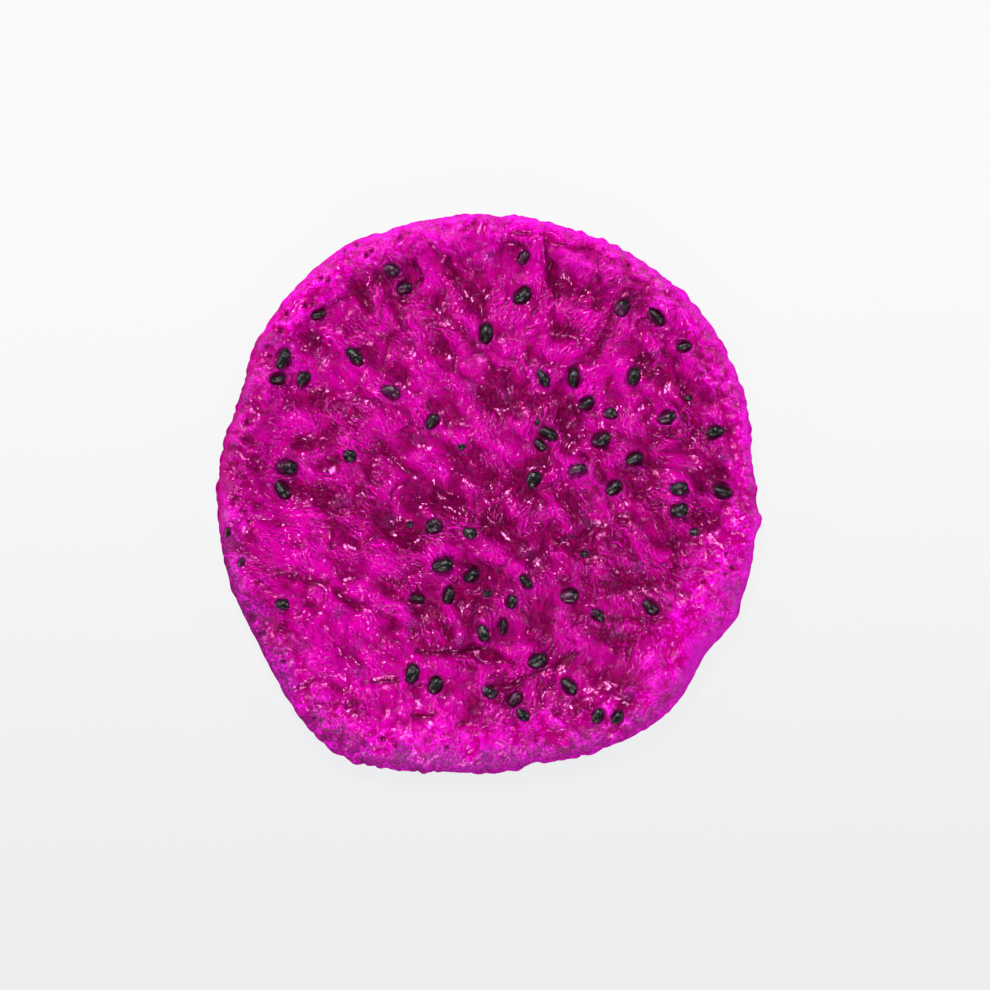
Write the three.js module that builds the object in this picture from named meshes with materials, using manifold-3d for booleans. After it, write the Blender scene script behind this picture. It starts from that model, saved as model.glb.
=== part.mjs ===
// A dried slice of red-fleshed dragon fruit, in millimetres, +Z up.
//
// The slice is one piece: a flat round of flesh whose rim has stayed puffy while its middle has sunk and
// puckered, with its seeds grown into both faces. It lies on three low feet, where it was pressed flat as
// it dried. The origin is on the surface it rests on, below the middle of its box.

import * as THREE from "three";
import { mergeVertices } from "three/addons/utils/BufferGeometryUtils.js";
import Module from "manifold-3d";

// ---------------------------------------------------------------- driving sizes, in mm

// Distance from the outline's own centre to the cut edge, at even turns from +X towards +Y.
const OUTLINE_RADII = [
  32.0, 31.9, 32.75, 33.1, 33.4, 33.4, 33.4, 33.2, 33.3,
  33.6, 33.6, 33.9, 34.4, 34.1, 33.6, 32.9, 32.1, 32.4,
  32.6, 32.8, 33.0, 33.0, 33.8, 35.3, 36.3, 35.3, 34.1,
  33.7, 33.3, 33.5, 34.0, 34.0, 32.9, 32.8, 32.85, 32.4,
];
// Bumps and nicks in the edge: direction in degrees, half width in degrees, rise.
const EDGE_MARKS = [
  [354, 2.2, 0.7], [1, 1.0, 0.3], [147, 2.0, 0.4], [88, 1.3, -0.4],
  [112, 1.4, -0.35], [279.5, 1.5, -0.4], [333, 3.0, 0.5], [323, 4.0, -0.35],
];
// The middle of the box, seen from the point the radii are measured from.
const BOX_MIDDLE = { x: 0.01, y: -0.08 };

const EDGE_HEIGHT = 2.3; // outermost line of the edge
const EDGE_DROP = 0.5; // how much lower that line lies along the lower side
const CREST_HEIGHT = 5.4; // top of the puffy rim
const CREST_DROP = 1.0; // how much lower it is along the lower side
const CREST_INSET = 3.0; // from the edge to the top of the rim
const SHOULDER_INSET = 2.6; // how much further in that top lies along the lower side
const RIM_FALL = 3.8; // from the top of the rim in to the floor
const FLOOR_HEIGHT = 3.6; // the sunken middle
const UNDERSIDE_HEIGHT = 1.15;
const UNDERSIDE_INSET = 3.2; // from the edge in to where the underside levels out
const UNDERSIDE_CURL = { rise: 0.5, full: 2, gone: 10 }; // how far it lifts, and the insets where that ends
const EDGE_ROUNDNESS = 2.2; // exponent of the edge's rounding: 2 is a quarter ellipse

// The lower side, where the rim is a wider, lower shoulder: the direction it faces and how far it reaches.
const LOWER_SIDE = { direction: 267, fades: 0.0, full: 0.45 };

// Swells and pits of the sunken middle: x, y, half length, half width, direction in degrees, rise.
const RELIEF = [
  // swells, upper half
  [3.0, 17.3, 2.6, 1.9, 20, 0.75], [8.3, 16.9, 1.7, 1.2, 0, 0.45], [12.0, 12.4, 1.6, 1.2, 30, 0.45],
  [6.5, 21.9, 1.9, 1.3, 10, 0.5], [19.0, 17.4, 2.0, 1.4, -30, 0.5], [-3.8, 6.4, 2.2, 1.4, -20, 0.75],
  [2.8, 4.4, 2.8, 1.2, 0, 0.7], [7.2, 1.7, 1.7, 1.2, 20, 0.5], [9.8, 3.7, 1.4, 1.1, 0, 0.4],
  [-8.5, 3.9, 1.7, 1.3, -40, 0.55], [-6.0, 1.9, 1.8, 1.2, 0, 0.5], [-13.5, 8.4, 2.6, 1.3, -35, 0.6],
  [-9.0, 11.4, 2.0, 1.3, -30, 0.45], [-23.5, 8.4, 2.4, 1.4, 0, 0.55], [-17.5, 5.7, 1.6, 1.2, 0, 0.4],
  [-15.0, 20.0, 3.2, 1.5, -30, 0.45], [-5.0, 19.5, 2.4, 1.4, -55, 0.4], [-6.5, 15.5, 2.2, 1.2, -40, 0.35],
  [22.5, 1.2, 1.9, 1.2, 10, 0.5], [15.8, 19.5, 2.0, 1.2, 60, 0.35],
  // swells, lower half
  [-22.5, -3.4, 1.8, 1.3, 0, 0.45], [-13.3, -9.3, 2.2, 1.6, 20, 0.75], [-19.5, -9.3, 1.9, 1.3, 0, 0.5],
  [-22.0, -7.6, 1.6, 1.2, 40, 0.4], [-15.5, -11.6, 1.7, 1.2, 0, 0.45], [-12.7, -13.4, 1.6, 1.1, 0, 0.4],
  [12.5, -3.1, 1.8, 1.2, 30, 0.45], [7.0, -2.9, 1.6, 1.1, 0, 0.4], [1.2, -7.4, 2.1, 1.3, 10, 0.55],
  [6.0, -11.6, 1.9, 1.3, -20, 0.5], [19.8, -7.6, 2.4, 1.3, -40, 0.5], [4.0, -19.1, 1.9, 1.2, 20, 0.45],
  [-7.5, -21.6, 2.0, 1.3, 0, 0.45], [11.0, -18.2, 2.4, 1.2, -50, 0.4], [-19.5, -21.0, 1.9, 1.3, -30, 0.4],
  [19.0, -20.5, 2.4, 1.5, 40, 0.4],
  // swells of the rim
  [-15.0, -28.3, 2.4, 1.6, -15, 0.55], [-8.5, -29.6, 2.4, 1.6, 0, 0.55], [1.5, -29.4, 2.9, 1.8, 0, 0.65],
  [6.8, -27.8, 1.9, 1.4, 0, 0.4], [-4.5, -26.2, 1.8, 1.2, 0, 0.35], [19.8, -24.2, 2.2, 1.5, 40, 0.4],
  [26.8, -11.5, 3.0, 1.6, 70, 0.35], [-29.6, -1.4, 1.9, 1.5, 90, 0.3], [-28.3, -9.0, 2.9, 1.5, 80, 0.35],
  [-19.5, 25.4, 2.6, 1.6, 35, 0.3], [0.5, 30.6, 3.0, 1.4, 0, 0.3], [24.2, 20.8, 2.8, 1.5, -45, 0.3],
  // pits, upper half
  [1.8, 9.9, 2.0, 1.5, 0, -0.9], [7.0, 11.4, 1.5, 1.2, 0, -0.6], [9.5, 8.9, 2.4, 1.7, 20, -0.9],
  [-6.0, -1.4, 3.6, 1.2, 0, -0.7], [-19.5, -1.0, 2.6, 1.1, -55, -0.6], [16.8, 2.4, 1.4, 1.1, 0, -0.5],
  [19.0, 14.2, 1.7, 1.2, -30, -0.5], [27.0, 2.0, 1.4, 1.2, 90, -0.7], [28.0, -1.6, 1.4, 1.1, 90, -0.6],
  [-30.5, 2.6, 1.5, 1.3, 90, -0.7], [10.5, 24.0, 1.7, 1.1, 0, -0.5], [8.0, 19.0, 2.9, 0.9, 0, -0.45],
  [-0.8, 26.4, 1.5, 1.1, 0, -0.5], [-9.0, 25.7, 1.6, 1.1, 0, -0.5], [-10.4, 22.9, 1.4, 1.1, 0, -0.45],
  [-21.5, 18.6, 1.9, 1.1, -60, -0.5], [19.6, 20.8, 1.8, 1.1, -50, -0.5], [-22.0, 5.5, 1.5, 1.1, 0, -0.45],
  [-18.0, 7.6, 2.5, 0.9, 15, -0.4], [-12.0, 4.6, 2.6, 1.0, -45, -0.5], [5.0, 29.6, 3.6, 1.0, 0, -0.6],
  [12.5, 28.0, 1.8, 0.9, -30, -0.5], [4.0, 28.0, 1.3, 1.0, 0, -0.45],
  // pits, lower half
  [-12.0, -4.0, 1.5, 1.2, 0, -0.6], [-9.0, -6.0, 1.5, 1.1, 0, -0.6], [1.0, -4.0, 1.8, 1.1, 0, -0.6],
  [8.0, -6.0, 1.5, 1.1, 0, -0.55], [12.0, -7.5, 1.5, 1.1, 0, -0.55], [5.0, -8.0, 1.4, 1.0, 0, -0.5],
  [17.0, -3.5, 1.5, 1.1, 0, -0.55], [24.0, -3.3, 2.2, 1.1, 10, -0.6], [-26.8, -16.3, 1.5, 1.3, 0, -0.6],
  [14.5, -17.1, 1.5, 1.1, 0, -0.5], [18.5, -11.1, 3.4, 1.1, 0, -0.6], [22.0, -6.4, 1.2, 0.9, 0, -0.4],
  [-18.5, -26.0, 1.6, 1.2, 0, -0.55], [-16.0, -13.6, 1.3, 1.0, 0, -0.45], [-22.0, -24.0, 1.4, 1.1, 0, -0.45],
  [-8.6, -15.0, 1.4, 2.0, 0, -0.5], [-3.0, -19.3, 3.2, 1.0, -5, -0.5], [3.5, -25.1, 1.5, 1.1, 0, -0.55],
  [10.0, -21.0, 1.7, 1.1, 30, -0.5],
];
const SWELL_SHARE = 0.9; // share of each listed rise that the solid carries

// Long, low waves of the flesh that no list places: wavelengths and heights.
const FLESH_WAVES = { seed: 41, count: 14, longest: 11, shortest: 4.5, height: 0.3 };
const UNDERSIDE_WAVES = { seed: 97, count: 14, longest: 13, shortest: 5, height: 0.3 };

// The feet: flat spots of the underside, at even turns round the slice's weight.
const FEET = { count: 3, firstDirection: 90, distance: 19, spread: 3.3, depth: 2.1, clear: 5 };

// A seed is pear-shaped and sits in the flesh by its lower third. Shares of its length, or of half of it
// for how far its middle stands above the flesh; pointed is how much slimmer its thin end is.
const SEED = { width: 0.7, height: 0.62, pointed: 0.34, proud: 0.3 };
// A seed that the flesh has dried over shows as a lump of the flesh.
const LUMP = { length: 2.3, width: 0.8, height: 0.5, pointed: 0.1, proud: 0.06 };
const SEED_SIDES = 6;
const SEED_RINGS = 3;

// Bare seeds of the upper face: x, y, direction in degrees of the blunt end, length.
const BARE_SEEDS = [
  // upper left
  [-11.8, 26.5, -20, 1.9], [-10.2, 24.5, 25, 1.9], [-20.5, 21.2, 15, 1.7], [-24.7, 15.9, 65, 2.6],
  [-25.3, 13.4, 10, 1.9], [-22.2, 13.4, 50, 1.9], [-16.2, 16.2, -45, 2.3], [-11.8, 11.8, -20, 2.3],
  [-6.8, 8.4, 55, 2.0], [-3.3, 5.3, 30, 1.1], [-16.7, 4.3, 0, 1.6], [-24.2, 2.9, -5, 2.6],
  [-24.8, 0.2, -50, 2.2], [-0.5, 19.0, 80, 2.4],
  // upper right
  [4.1, 28.1, 55, 1.7], [3.9, 23.6, 40, 2.3], [16.0, 22.1, 60, 2.0], [20.0, 20.8, -45, 2.3],
  [23.3, 17.3, 10, 1.8], [6.4, 13.5, -60, 2.2], [10.2, 13.7, 80, 2.3], [17.3, 13.8, 75, 2.2],
  [11.6, 10.6, 35, 2.1], [14.5, 9.3, 0, 1.6], [23.9, 11.2, 0, 0.9], [21.3, 8.9, 20, 2.2],
  [5.8, 8.2, 90, 0.9], [7.1, 6.9, -25, 2.3], [6.1, 5.6, -50, 1.6], [13.4, 6.3, 30, 2.3],
  [27.0, 7.0, 10, 2.1], [17.4, 3.9, 25, 2.1], [10.6, 2.5, 15, 2.3], [5.4, 1.4, 60, 2.0],
  [14.9, 0.4, 40, 2.2], [22.7, 0.4, 5, 2.2], [27.9, 0.0, -20, 2.4],
  // lower left
  [-6.6, -4.2, 30, 2.0], [-2.3, -4.9, -10, 1.7], [-9.5, -4.0, 0, 0.9], [-5.6, -8.9, 15, 2.6],
  [-2.2, -10.0, 40, 2.0], [-4.9, -12.4, 75, 2.0], [-24.7, -13.5, 0, 1.6], [-8.7, -12.9, -5, 1.8],
  [-9.3, -21.7, 70, 2.2], [-6.4, -23.2, 60, 2.2], [-31.3, -4.9, 80, 1.2], [-29.7, -8.5, 60, 1.2],
  // lower right
  [-0.7, -17.0, -70, 2.0], [4.4, -10.8, -45, 2.0], [2.6, -13.2, 80, 1.7], [9.6, -12.4, 15, 2.2],
  [12.9, -14.9, -40, 1.8], [19.3, -13.8, -40, 2.2], [1.6, -16.2, 80, 1.8], [5.8, -20.3, 25, 2.3],
  [9.5, -23.3, -45, 2.3], [0.1, -24.0, -25, 1.9], [3.1, -25.0, 60, 2.0], [4.0, -26.7, -45, 1.7],
  [13.0, -26.8, 60, 1.8], [15.2, -27.0, 50, 1.8], [22.7, -2.2, 20, 2.2], [24.6, -4.9, 0, 1.3],
  [11.4, -7.5, 0, 1.1], [-0.3, -12.3, 0, 1.1],
];
// Seeds of the upper face that the flesh has dried over: x, y, direction in degrees.
const COVERED_SEEDS = [
  [-8.3, 6.5, 0], [-2.2, 12.5, -60], [-29.0, 11.1, 70], [-27.0, 17.6, 50], [-25.5, 18.2, 30],
  [0.1, 28.3, 0], [20.2, 16.6, 10], [27.8, 3.9, -40], [2.0, 11.5, 0], [-12.0, -3.5, 20],
  [-15.9, -18.6, 40], [-22.0, -18.3, 0], [-15.7, -21.7, 0], [-18.0, -14.5, 60], [-9.1, -15.7, 0],
  [-3.5, -18.0, 30], [-23.2, -23.0, -40], [-17.5, -1.0, 0], [17.3, -26.8, 30], [16.5, -24.5, 60],
  [12.0, -3.7, -50], [4.5, -7.3, 0], [15.3, -17.0, 0], [17.7, -9.0, 0],
];
// Seeds of the underside lie in rings, each a little off its even place.
const UNDER_SEEDS = { seed: 613, rings: [[6, 4], [13, 8], [21, 12]], stray: 1.6, length: [1.8, 2.4] };

// Fineness of the mesh.
const FACE_STEPS = 32; // squares along one side of each face of the starting box
const EDGE_STEPS = 4; // squares down its walls
const WALL_INSET = 1.3; // how far in from the edge the walls reach

// ---------------------------------------------------------------- small mathematics

const DEGREE = Math.PI / 180;

// Multiplier and modulus of the row of numbers that stands in for chance.
const DRAW_STEP = 16807;
const DRAW_MODULUS = 2147483647;

/** Numbers from 0 to 1 that are the same on every run. */
class Draws {
  constructor(seed) {
    this.state = seed;
  }

  next() {
    this.state = (this.state * DRAW_STEP) % DRAW_MODULUS;
    return this.state / DRAW_MODULUS;
  }

  between(low, high) {
    return low + (high - low) * this.next();
  }
}

function clamp01(value) {
  return Math.min(1, Math.max(0, value));
}

function smoothStep(low, high, value) {
  const t = clamp01((value - low) / (high - low));
  return t * t * (3 - 2 * t);
}

// The highest crests of a sum of waves, in its own spreads.
const CREST_SPREADS = 1.6;

/** A smooth random surface of about -1 to 1, as a function of x and y. */
function makeWaves({ seed, count, longest, shortest }) {
  const draws = new Draws(seed);
  const waves = [];
  for (let i = 0; i < count; i += 1) {
    const length = longest * (shortest / longest) ** ((i + draws.next()) / count);
    const heading = draws.between(0, 2 * Math.PI);
    waves.push({
      x: (2 * Math.PI * Math.cos(heading)) / length,
      y: (2 * Math.PI * Math.sin(heading)) / length,
      phase: draws.between(0, 2 * Math.PI),
    });
  }
  const share = Math.sqrt(2 / count) / CREST_SPREADS;
  return (x, y) => share * waves.reduce((sum, w) => sum + Math.sin(w.x * x + w.y * y + w.phase), 0);
}

// ---------------------------------------------------------------- the form of the flesh

/** Distance from the outline's centre to the edge, in a direction given in degrees. */
function edgeRadius(direction) {
  const count = OUTLINE_RADII.length;
  const turn = ((((direction / 360) * count) % count) + count) % count;
  const index = Math.floor(turn);
  const t = turn - index;
  const [a, b, c, d] = [-1, 0, 1, 2].map((step) => OUTLINE_RADII[(index + step + count) % count]);
  const slope = c - a;
  const bend = 2 * a - 5 * b + 4 * c - d;
  const twist = 3 * b - a - 3 * c + d;
  let radius = 0.5 * (2 * b + slope * t + bend * t ** 2 + twist * t ** 3);
  for (const [at, halfWidth, rise] of EDGE_MARKS) {
    const away = ((direction - at + 540) % 360) - 180;
    radius += rise * Math.exp(-((away / halfWidth) ** 2));
  }
  return radius;
}

/** How much a direction in degrees belongs to the lower side: 0 or 1, with a soft change. */
function lowerSide(direction) {
  const { fades, full } = LOWER_SIDE;
  return smoothStep(fades, full, Math.cos((direction - LOWER_SIDE.direction) * DEGREE));
}

/** Height from 0 at the edge to 1 at an inset, along a rounded quarter curve. */
function rounding(inset, reach) {
  const inner = 1 - clamp01(inset / reach);
  return (1 - inner ** EDGE_ROUNDNESS) ** (1 / EDGE_ROUNDNESS);
}

/** Sum of the listed swells and pits at a point. */
function reliefAt(x, y) {
  let height = 0;
  for (const [cx, cy, halfLength, halfWidth, heading, rise] of RELIEF) {
    const along = (x - cx) * Math.cos(heading * DEGREE) + (y - cy) * Math.sin(heading * DEGREE);
    const across = (y - cy) * Math.cos(heading * DEGREE) - (x - cx) * Math.sin(heading * DEGREE);
    height += rise * Math.exp(-((along / halfLength) ** 2) - (across / halfWidth) ** 2);
  }
  return SWELL_SHARE * height;
}

const fleshWaves = makeWaves(FLESH_WAVES);
const undersideWaves = makeWaves(UNDERSIDE_WAVES);

/** Polar place of a point given from the outline's centre. */
function placeOf(x, y) {
  const direction = Math.atan2(y, x) / DEGREE;
  return { direction, inset: edgeRadius(direction) - Math.hypot(x, y), lower: lowerSide(direction) };
}

function edgeHeight(lower) {
  return EDGE_HEIGHT - EDGE_DROP * lower;
}

/** Height of the upper face at a point given from the outline's centre. */
function upperHeight(x, y) {
  const { inset, lower } = placeOf(x, y);
  const base = edgeHeight(lower);
  const crest = CREST_HEIGHT - CREST_DROP * lower;
  const crestInset = CREST_INSET + SHOULDER_INSET * lower;
  const up = rounding(inset, crestInset);
  const rise = (crest - base) * up;
  const sunk = (crest - FLOOR_HEIGHT) * smoothStep(crestInset, crestInset + RIM_FALL, inset);
  return base + rise - sunk + up * (reliefAt(x, y) + FLESH_WAVES.height * fleshWaves(x, y));
}

/** Height of the underside at a point given from the outline's centre. */
function lowerHeight(x, y) {
  const { inset, lower } = placeOf(x, y);
  const down = rounding(inset, UNDERSIDE_INSET);
  const curl = UNDERSIDE_CURL.rise * (1 - smoothStep(UNDERSIDE_CURL.full, UNDERSIDE_CURL.gone, inset));
  const level = UNDERSIDE_HEIGHT + curl + UNDERSIDE_WAVES.height * undersideWaves(x, y);
  let height = edgeHeight(lower) + (level - edgeHeight(lower)) * down;
  for (const foot of footPlaces()) {
    height -= FEET.depth * Math.exp(-((Math.hypot(x - foot.x, y - foot.y) / FEET.spread) ** 4));
  }
  return Math.max(0, height);
}

/** Middles of the feet, from the outline's centre. */
function footPlaces() {
  return Array.from({ length: FEET.count }, (_, i) => {
    const direction = (FEET.firstDirection + (360 * i) / FEET.count) * DEGREE;
    return { x: FEET.distance * Math.cos(direction), y: FEET.distance * Math.sin(direction) };
  });
}

/** Moves a vertex of the starting box, of half side 1, to its place on the slice. */
function shapeVertex(vertex) {
  // The square's straight rows become arcs, so that it turns into a disc with no corners.
  const across = vertex.x * Math.sqrt(1 - vertex.y ** 2 / 2);
  const along = vertex.y * Math.sqrt(1 - vertex.x ** 2 / 2);
  const direction = Math.atan2(along, across) / DEGREE;
  const onWall = Math.max(Math.abs(vertex.x), Math.abs(vertex.y)) === 1;
  const bulge = onWall ? WALL_INSET * Math.cos((vertex.z * Math.PI) / 2) : 0;
  const radius = Math.hypot(across, along) * (edgeRadius(direction) - WALL_INSET) + bulge;
  const x = radius * Math.cos(direction * DEGREE);
  const y = radius * Math.sin(direction * DEGREE);
  return vertex.set(x, y, vertex.z >= 0 ? upperHeight(x, y) : lowerHeight(x, y));
}

/** Splits each square of the box along the diagonal that points away from the middle of its face. */
function turnDiagonals(geometry) {
  const { index, attributes: { position } } = geometry;
  for (let i = 0; i < index.count; i += 6) {
    const [a, b, d, , c] = index.array.slice(i, i + 6);
    const middle = new THREE.Vector3();
    [a, b, c, d].forEach((k) => middle.add(new THREE.Vector3().fromBufferAttribute(position, k)));
    const corner = new THREE.Vector3().fromBufferAttribute(position, b);
    if ((corner.x * 4 - middle.x) * (corner.y * 4 - middle.y) * middle.x * middle.y < 0) {
      index.array.set([a, b, c, a, c, d], i);
    }
  }
}

/** The flesh without its seeds. */
function makeFlesh() {
  const geometry = new THREE.BoxGeometry(2, 2, 2, FACE_STEPS, FACE_STEPS, EDGE_STEPS);
  turnDiagonals(geometry);
  const position = geometry.attributes.position;
  const vertex = new THREE.Vector3();
  for (let i = 0; i < position.count; i += 1) {
    shapeVertex(vertex.fromBufferAttribute(position, i));
    position.setXYZ(i, vertex.x, vertex.y, vertex.z);
  }
  return geometry;
}

// ---------------------------------------------------------------- seeds

const fleshMaterial = new THREE.MeshStandardMaterial({ color: 0xc4119b, roughness: 0.45, metalness: 0 });

/** Height of the flesh's own facets at a point, on its upper face or, looking up, on its underside. */
function facetHeight(flesh, x, y, upwards) {
  const above = new THREE.Vector3(x, y, upwards * 2 * CREST_HEIGHT);
  const [nearest] = new THREE.Raycaster(above, new THREE.Vector3(0, 0, -upwards)).intersectObject(flesh);
  return nearest.point.z;
}

/** A seed or a lump of a length, lying in a face of the flesh at a point, turned to a direction. */
function makeSeed(flesh, form, [x, y, direction, length], upwards) {
  const geometry = new THREE.SphereGeometry(1, SEED_SIDES, SEED_RINGS);
  const position = geometry.attributes.position;
  const vertex = new THREE.Vector3();
  for (let i = 0; i < position.count; i += 1) {
    vertex.fromBufferAttribute(position, i);
    const slim = 1 - (form.pointed * (1 - vertex.y)) / 2; // the sphere's poles become the seed's two ends
    position.setXYZ(i, vertex.y, -vertex.x * form.width * slim, vertex.z * form.height * slim);
  }
  const middle = facetHeight(flesh, x, y, upwards) + (upwards * form.proud * length) / 2;
  return geometry
    .scale(length / 2, length / 2, length / 2)
    .rotateZ(direction * DEGREE)
    .translate(x, y, middle);
}

/** Places of the underside's seeds: even turns in each ring, each seed strayed a little. */
function underSeedPlaces() {
  const draws = new Draws(UNDER_SEEDS.seed);
  const places = [];
  for (const [distance, count] of UNDER_SEEDS.rings) {
    for (let i = 0; i < count; i += 1) {
      const around = ((i + 0.5 * draws.next()) / count) * 2 * Math.PI;
      const away = distance + draws.between(-UNDER_SEEDS.stray, UNDER_SEEDS.stray);
      const direction = draws.between(0, 360);
      const length = draws.between(...UNDER_SEEDS.length);
      places.push([away * Math.cos(around), away * Math.sin(around), direction, length]);
    }
  }
  const feet = footPlaces();
  const clearOfFeet = ([x, y]) => feet.every((foot) => Math.hypot(x - foot.x, y - foot.y) > FEET.clear);
  return places.filter(clearOfFeet);
}

/** Every seed and every lump, standing in the flesh. */
function makeSeeds(fleshGeometry) {
  const flesh = new THREE.Mesh(fleshGeometry, fleshMaterial);
  return [
    ...BARE_SEEDS.map((place) => makeSeed(flesh, SEED, place, 1)),
    ...COVERED_SEEDS.map((place) => makeSeed(flesh, LUMP, [...place, LUMP.length], 1)),
    ...underSeedPlaces().map((place) => makeSeed(flesh, SEED, place, -1)),
  ];
}

// ---------------------------------------------------------------- joining

const wasm = await Module();
wasm.setup();

/** A closed geometry as a manifold solid. */
function toSolid(geometry) {
  const bare = geometry.clone();
  bare.deleteAttribute("normal");
  bare.deleteAttribute("uv");
  const merged = mergeVertices(bare, 1e-5);
  return new wasm.Manifold(new wasm.Mesh({
    numProp: 3,
    vertProperties: new Float32Array(merged.attributes.position.array),
    triVerts: new Uint32Array(merged.index.array),
  }));
}

/** A manifold solid as a geometry with flat faces. */
function toGeometry(solid) {
  const mesh = solid.getMesh();
  const geometry = new THREE.BufferGeometry();
  geometry.setAttribute("position", new THREE.BufferAttribute(new Float32Array(mesh.vertProperties), 3));
  geometry.setIndex(new THREE.BufferAttribute(new Uint32Array(mesh.triVerts), 1));
  return geometry;
}

/** The largest shell of a solid, which leaves out any small pocket sealed between a seed and the flesh. */
function withoutPockets(solid) {
  return solid.decompose().reduce((largest, shell) => (shell.volume() > largest.volume() ? shell : largest));
}

const fleshGeometry = makeFlesh();
const seeds = makeSeeds(fleshGeometry).map(toSolid);
const joined = seeds.reduce((whole, seed) => whole.add(seed), toSolid(fleshGeometry));
const sliceGeometry = toGeometry(withoutPockets(joined));
sliceGeometry.translate(-BOX_MIDDLE.x, -BOX_MIDDLE.y, 0);
sliceGeometry.computeVertexNormals();

const slice = new THREE.Mesh(sliceGeometry, fleshMaterial);
slice.name = "dried_slice";

const group = new THREE.Group();
group.add(slice);

export default group;
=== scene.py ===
"""Dresses a dried slice of red-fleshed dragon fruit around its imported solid.

The solid fixes the slice's outline, its puffy rim, its sunken middle and the places of its seeds. This
scene builds the same form from the same sizes at a much finer grain, adds the folds, fibres, pores and
sockets that drying leaves, sets real seeds in it, and lights it softly from above on all sides.
"""

import logging
import math
from dataclasses import dataclass, field
from enum import Enum
from typing import Any, Callable, Union

import bpy
import numpy as np
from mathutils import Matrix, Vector


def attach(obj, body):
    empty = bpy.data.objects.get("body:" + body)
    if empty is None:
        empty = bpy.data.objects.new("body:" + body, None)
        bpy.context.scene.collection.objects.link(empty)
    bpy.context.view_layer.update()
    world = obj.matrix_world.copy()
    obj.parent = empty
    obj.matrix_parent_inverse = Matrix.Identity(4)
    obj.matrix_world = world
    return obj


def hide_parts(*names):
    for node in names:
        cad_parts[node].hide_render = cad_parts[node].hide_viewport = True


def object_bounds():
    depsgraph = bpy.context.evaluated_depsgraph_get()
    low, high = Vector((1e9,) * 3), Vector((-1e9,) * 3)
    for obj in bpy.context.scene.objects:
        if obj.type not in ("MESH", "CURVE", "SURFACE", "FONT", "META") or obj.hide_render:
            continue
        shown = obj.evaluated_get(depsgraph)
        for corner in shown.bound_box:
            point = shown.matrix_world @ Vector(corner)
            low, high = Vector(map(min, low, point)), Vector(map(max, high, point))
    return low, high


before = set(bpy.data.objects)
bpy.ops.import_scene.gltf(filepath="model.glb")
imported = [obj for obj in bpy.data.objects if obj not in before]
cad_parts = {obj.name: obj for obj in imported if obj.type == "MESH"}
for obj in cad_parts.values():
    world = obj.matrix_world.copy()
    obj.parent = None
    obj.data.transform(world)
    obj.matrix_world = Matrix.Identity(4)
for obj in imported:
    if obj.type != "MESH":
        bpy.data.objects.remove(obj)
CAD_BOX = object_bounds()

logging.basicConfig(level=logging.INFO, format="%(name)s: %(message)s")
log = logging.getLogger("dried_slice")

MM = 0.001  # the sizes below are millimetres, and the scene is in metres
NODE = "dried_slice"
BODY = "root"
CEILING = (CAD_BOX[1][2] - CAD_BOX[0][2]) / MM  # the top of the solid


# ---- Small mathematics ----


class Draws:
    """Numbers from 0 to 1 that are the same on every run, and the same as the solid's."""

    STEP = 16807
    MODULUS = 2147483647

    def __init__(self, seed: int) -> None:
        """Starts the row of numbers at a seed."""
        self.state = seed

    def next(self) -> float:
        """The next number of the row."""
        self.state = (self.state * self.STEP) % self.MODULUS
        return self.state / self.MODULUS

    def between(self, low: float, high: float) -> float:
        """The next number, stretched to lie between two values."""
        return low + (high - low) * self.next()


@dataclass(frozen=True)
class Waves:
    """A smooth random surface made of plane waves of many directions, in mm."""

    seed: int
    count: int
    longest: float
    shortest: float
    height: float = 1.0

    CREST_SPREADS = 1.6  # the highest crests of a sum of waves, in its own spreads

    def __call__(self, x: np.ndarray, y: np.ndarray) -> np.ndarray:
        """The surface's value at each point.

        Args:
            x: places along X, in mm.
            y: places along Y, in mm.

        Returns:
            One value for each point.
        """
        draws = Draws(self.seed)
        total = np.zeros_like(x)
        for i in range(self.count):
            length = self.longest * (self.shortest / self.longest) ** ((i + draws.next()) / self.count)
            heading = draws.between(0, 2 * math.pi)
            phase = draws.between(0, 2 * math.pi)
            turn = 2 * math.pi / length
            total += np.sin(turn * (math.cos(heading) * x + math.sin(heading) * y) + phase)
        return self.height * (math.sqrt(2 / self.count) / self.CREST_SPREADS * total)


def smooth_step(low: float, high: float, value: np.ndarray) -> np.ndarray:
    """A soft change from 0 at low to 1 at high."""
    t = np.clip((value - low) / (high - low), 0, 1)
    return t * t * (3 - 2 * t)


def around_edge(listed: tuple[tuple[float, float], ...], x: np.ndarray, y: np.ndarray) -> np.ndarray:
    """A value that is listed for directions from the middle, in degrees, at any points."""
    return np.interp(np.degrees(np.arctan2(y, x)) % 360, *np.transpose(listed))


def soft_size(values: np.ndarray, softness: float) -> np.ndarray:
    """Values without their sign, with the sharp turn at 0 rounded off."""
    return np.sqrt(values**2 + softness)


def bell(x: np.ndarray, y: np.ndarray, at: Any, reach: float, squareness: float = 1) -> np.ndarray:
    """A value of 1 at a listed place that falls to 0 all round it."""
    return np.exp(-((((x - at.x) ** 2 + (y - at.y) ** 2) / reach**2) ** squareness))


def spun(a: np.ndarray, b: np.ndarray, angle: float) -> tuple[np.ndarray, np.ndarray]:
    """Two coordinates turned by an angle in radians."""
    c, s = math.cos(angle), math.sin(angle)
    return a * c - b * s, a * s + b * c


def turned(x: np.ndarray, y: np.ndarray, cx: float, cy: float,
           heading: float) -> tuple[np.ndarray, np.ndarray]:
    """Distances of points along and across a direction, in degrees from +X, through a centre."""
    c, s = math.cos(math.radians(heading)), math.sin(math.radians(heading))
    return (x - cx) * c + (y - cy) * s, (y - cy) * c - (x - cx) * s


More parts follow.
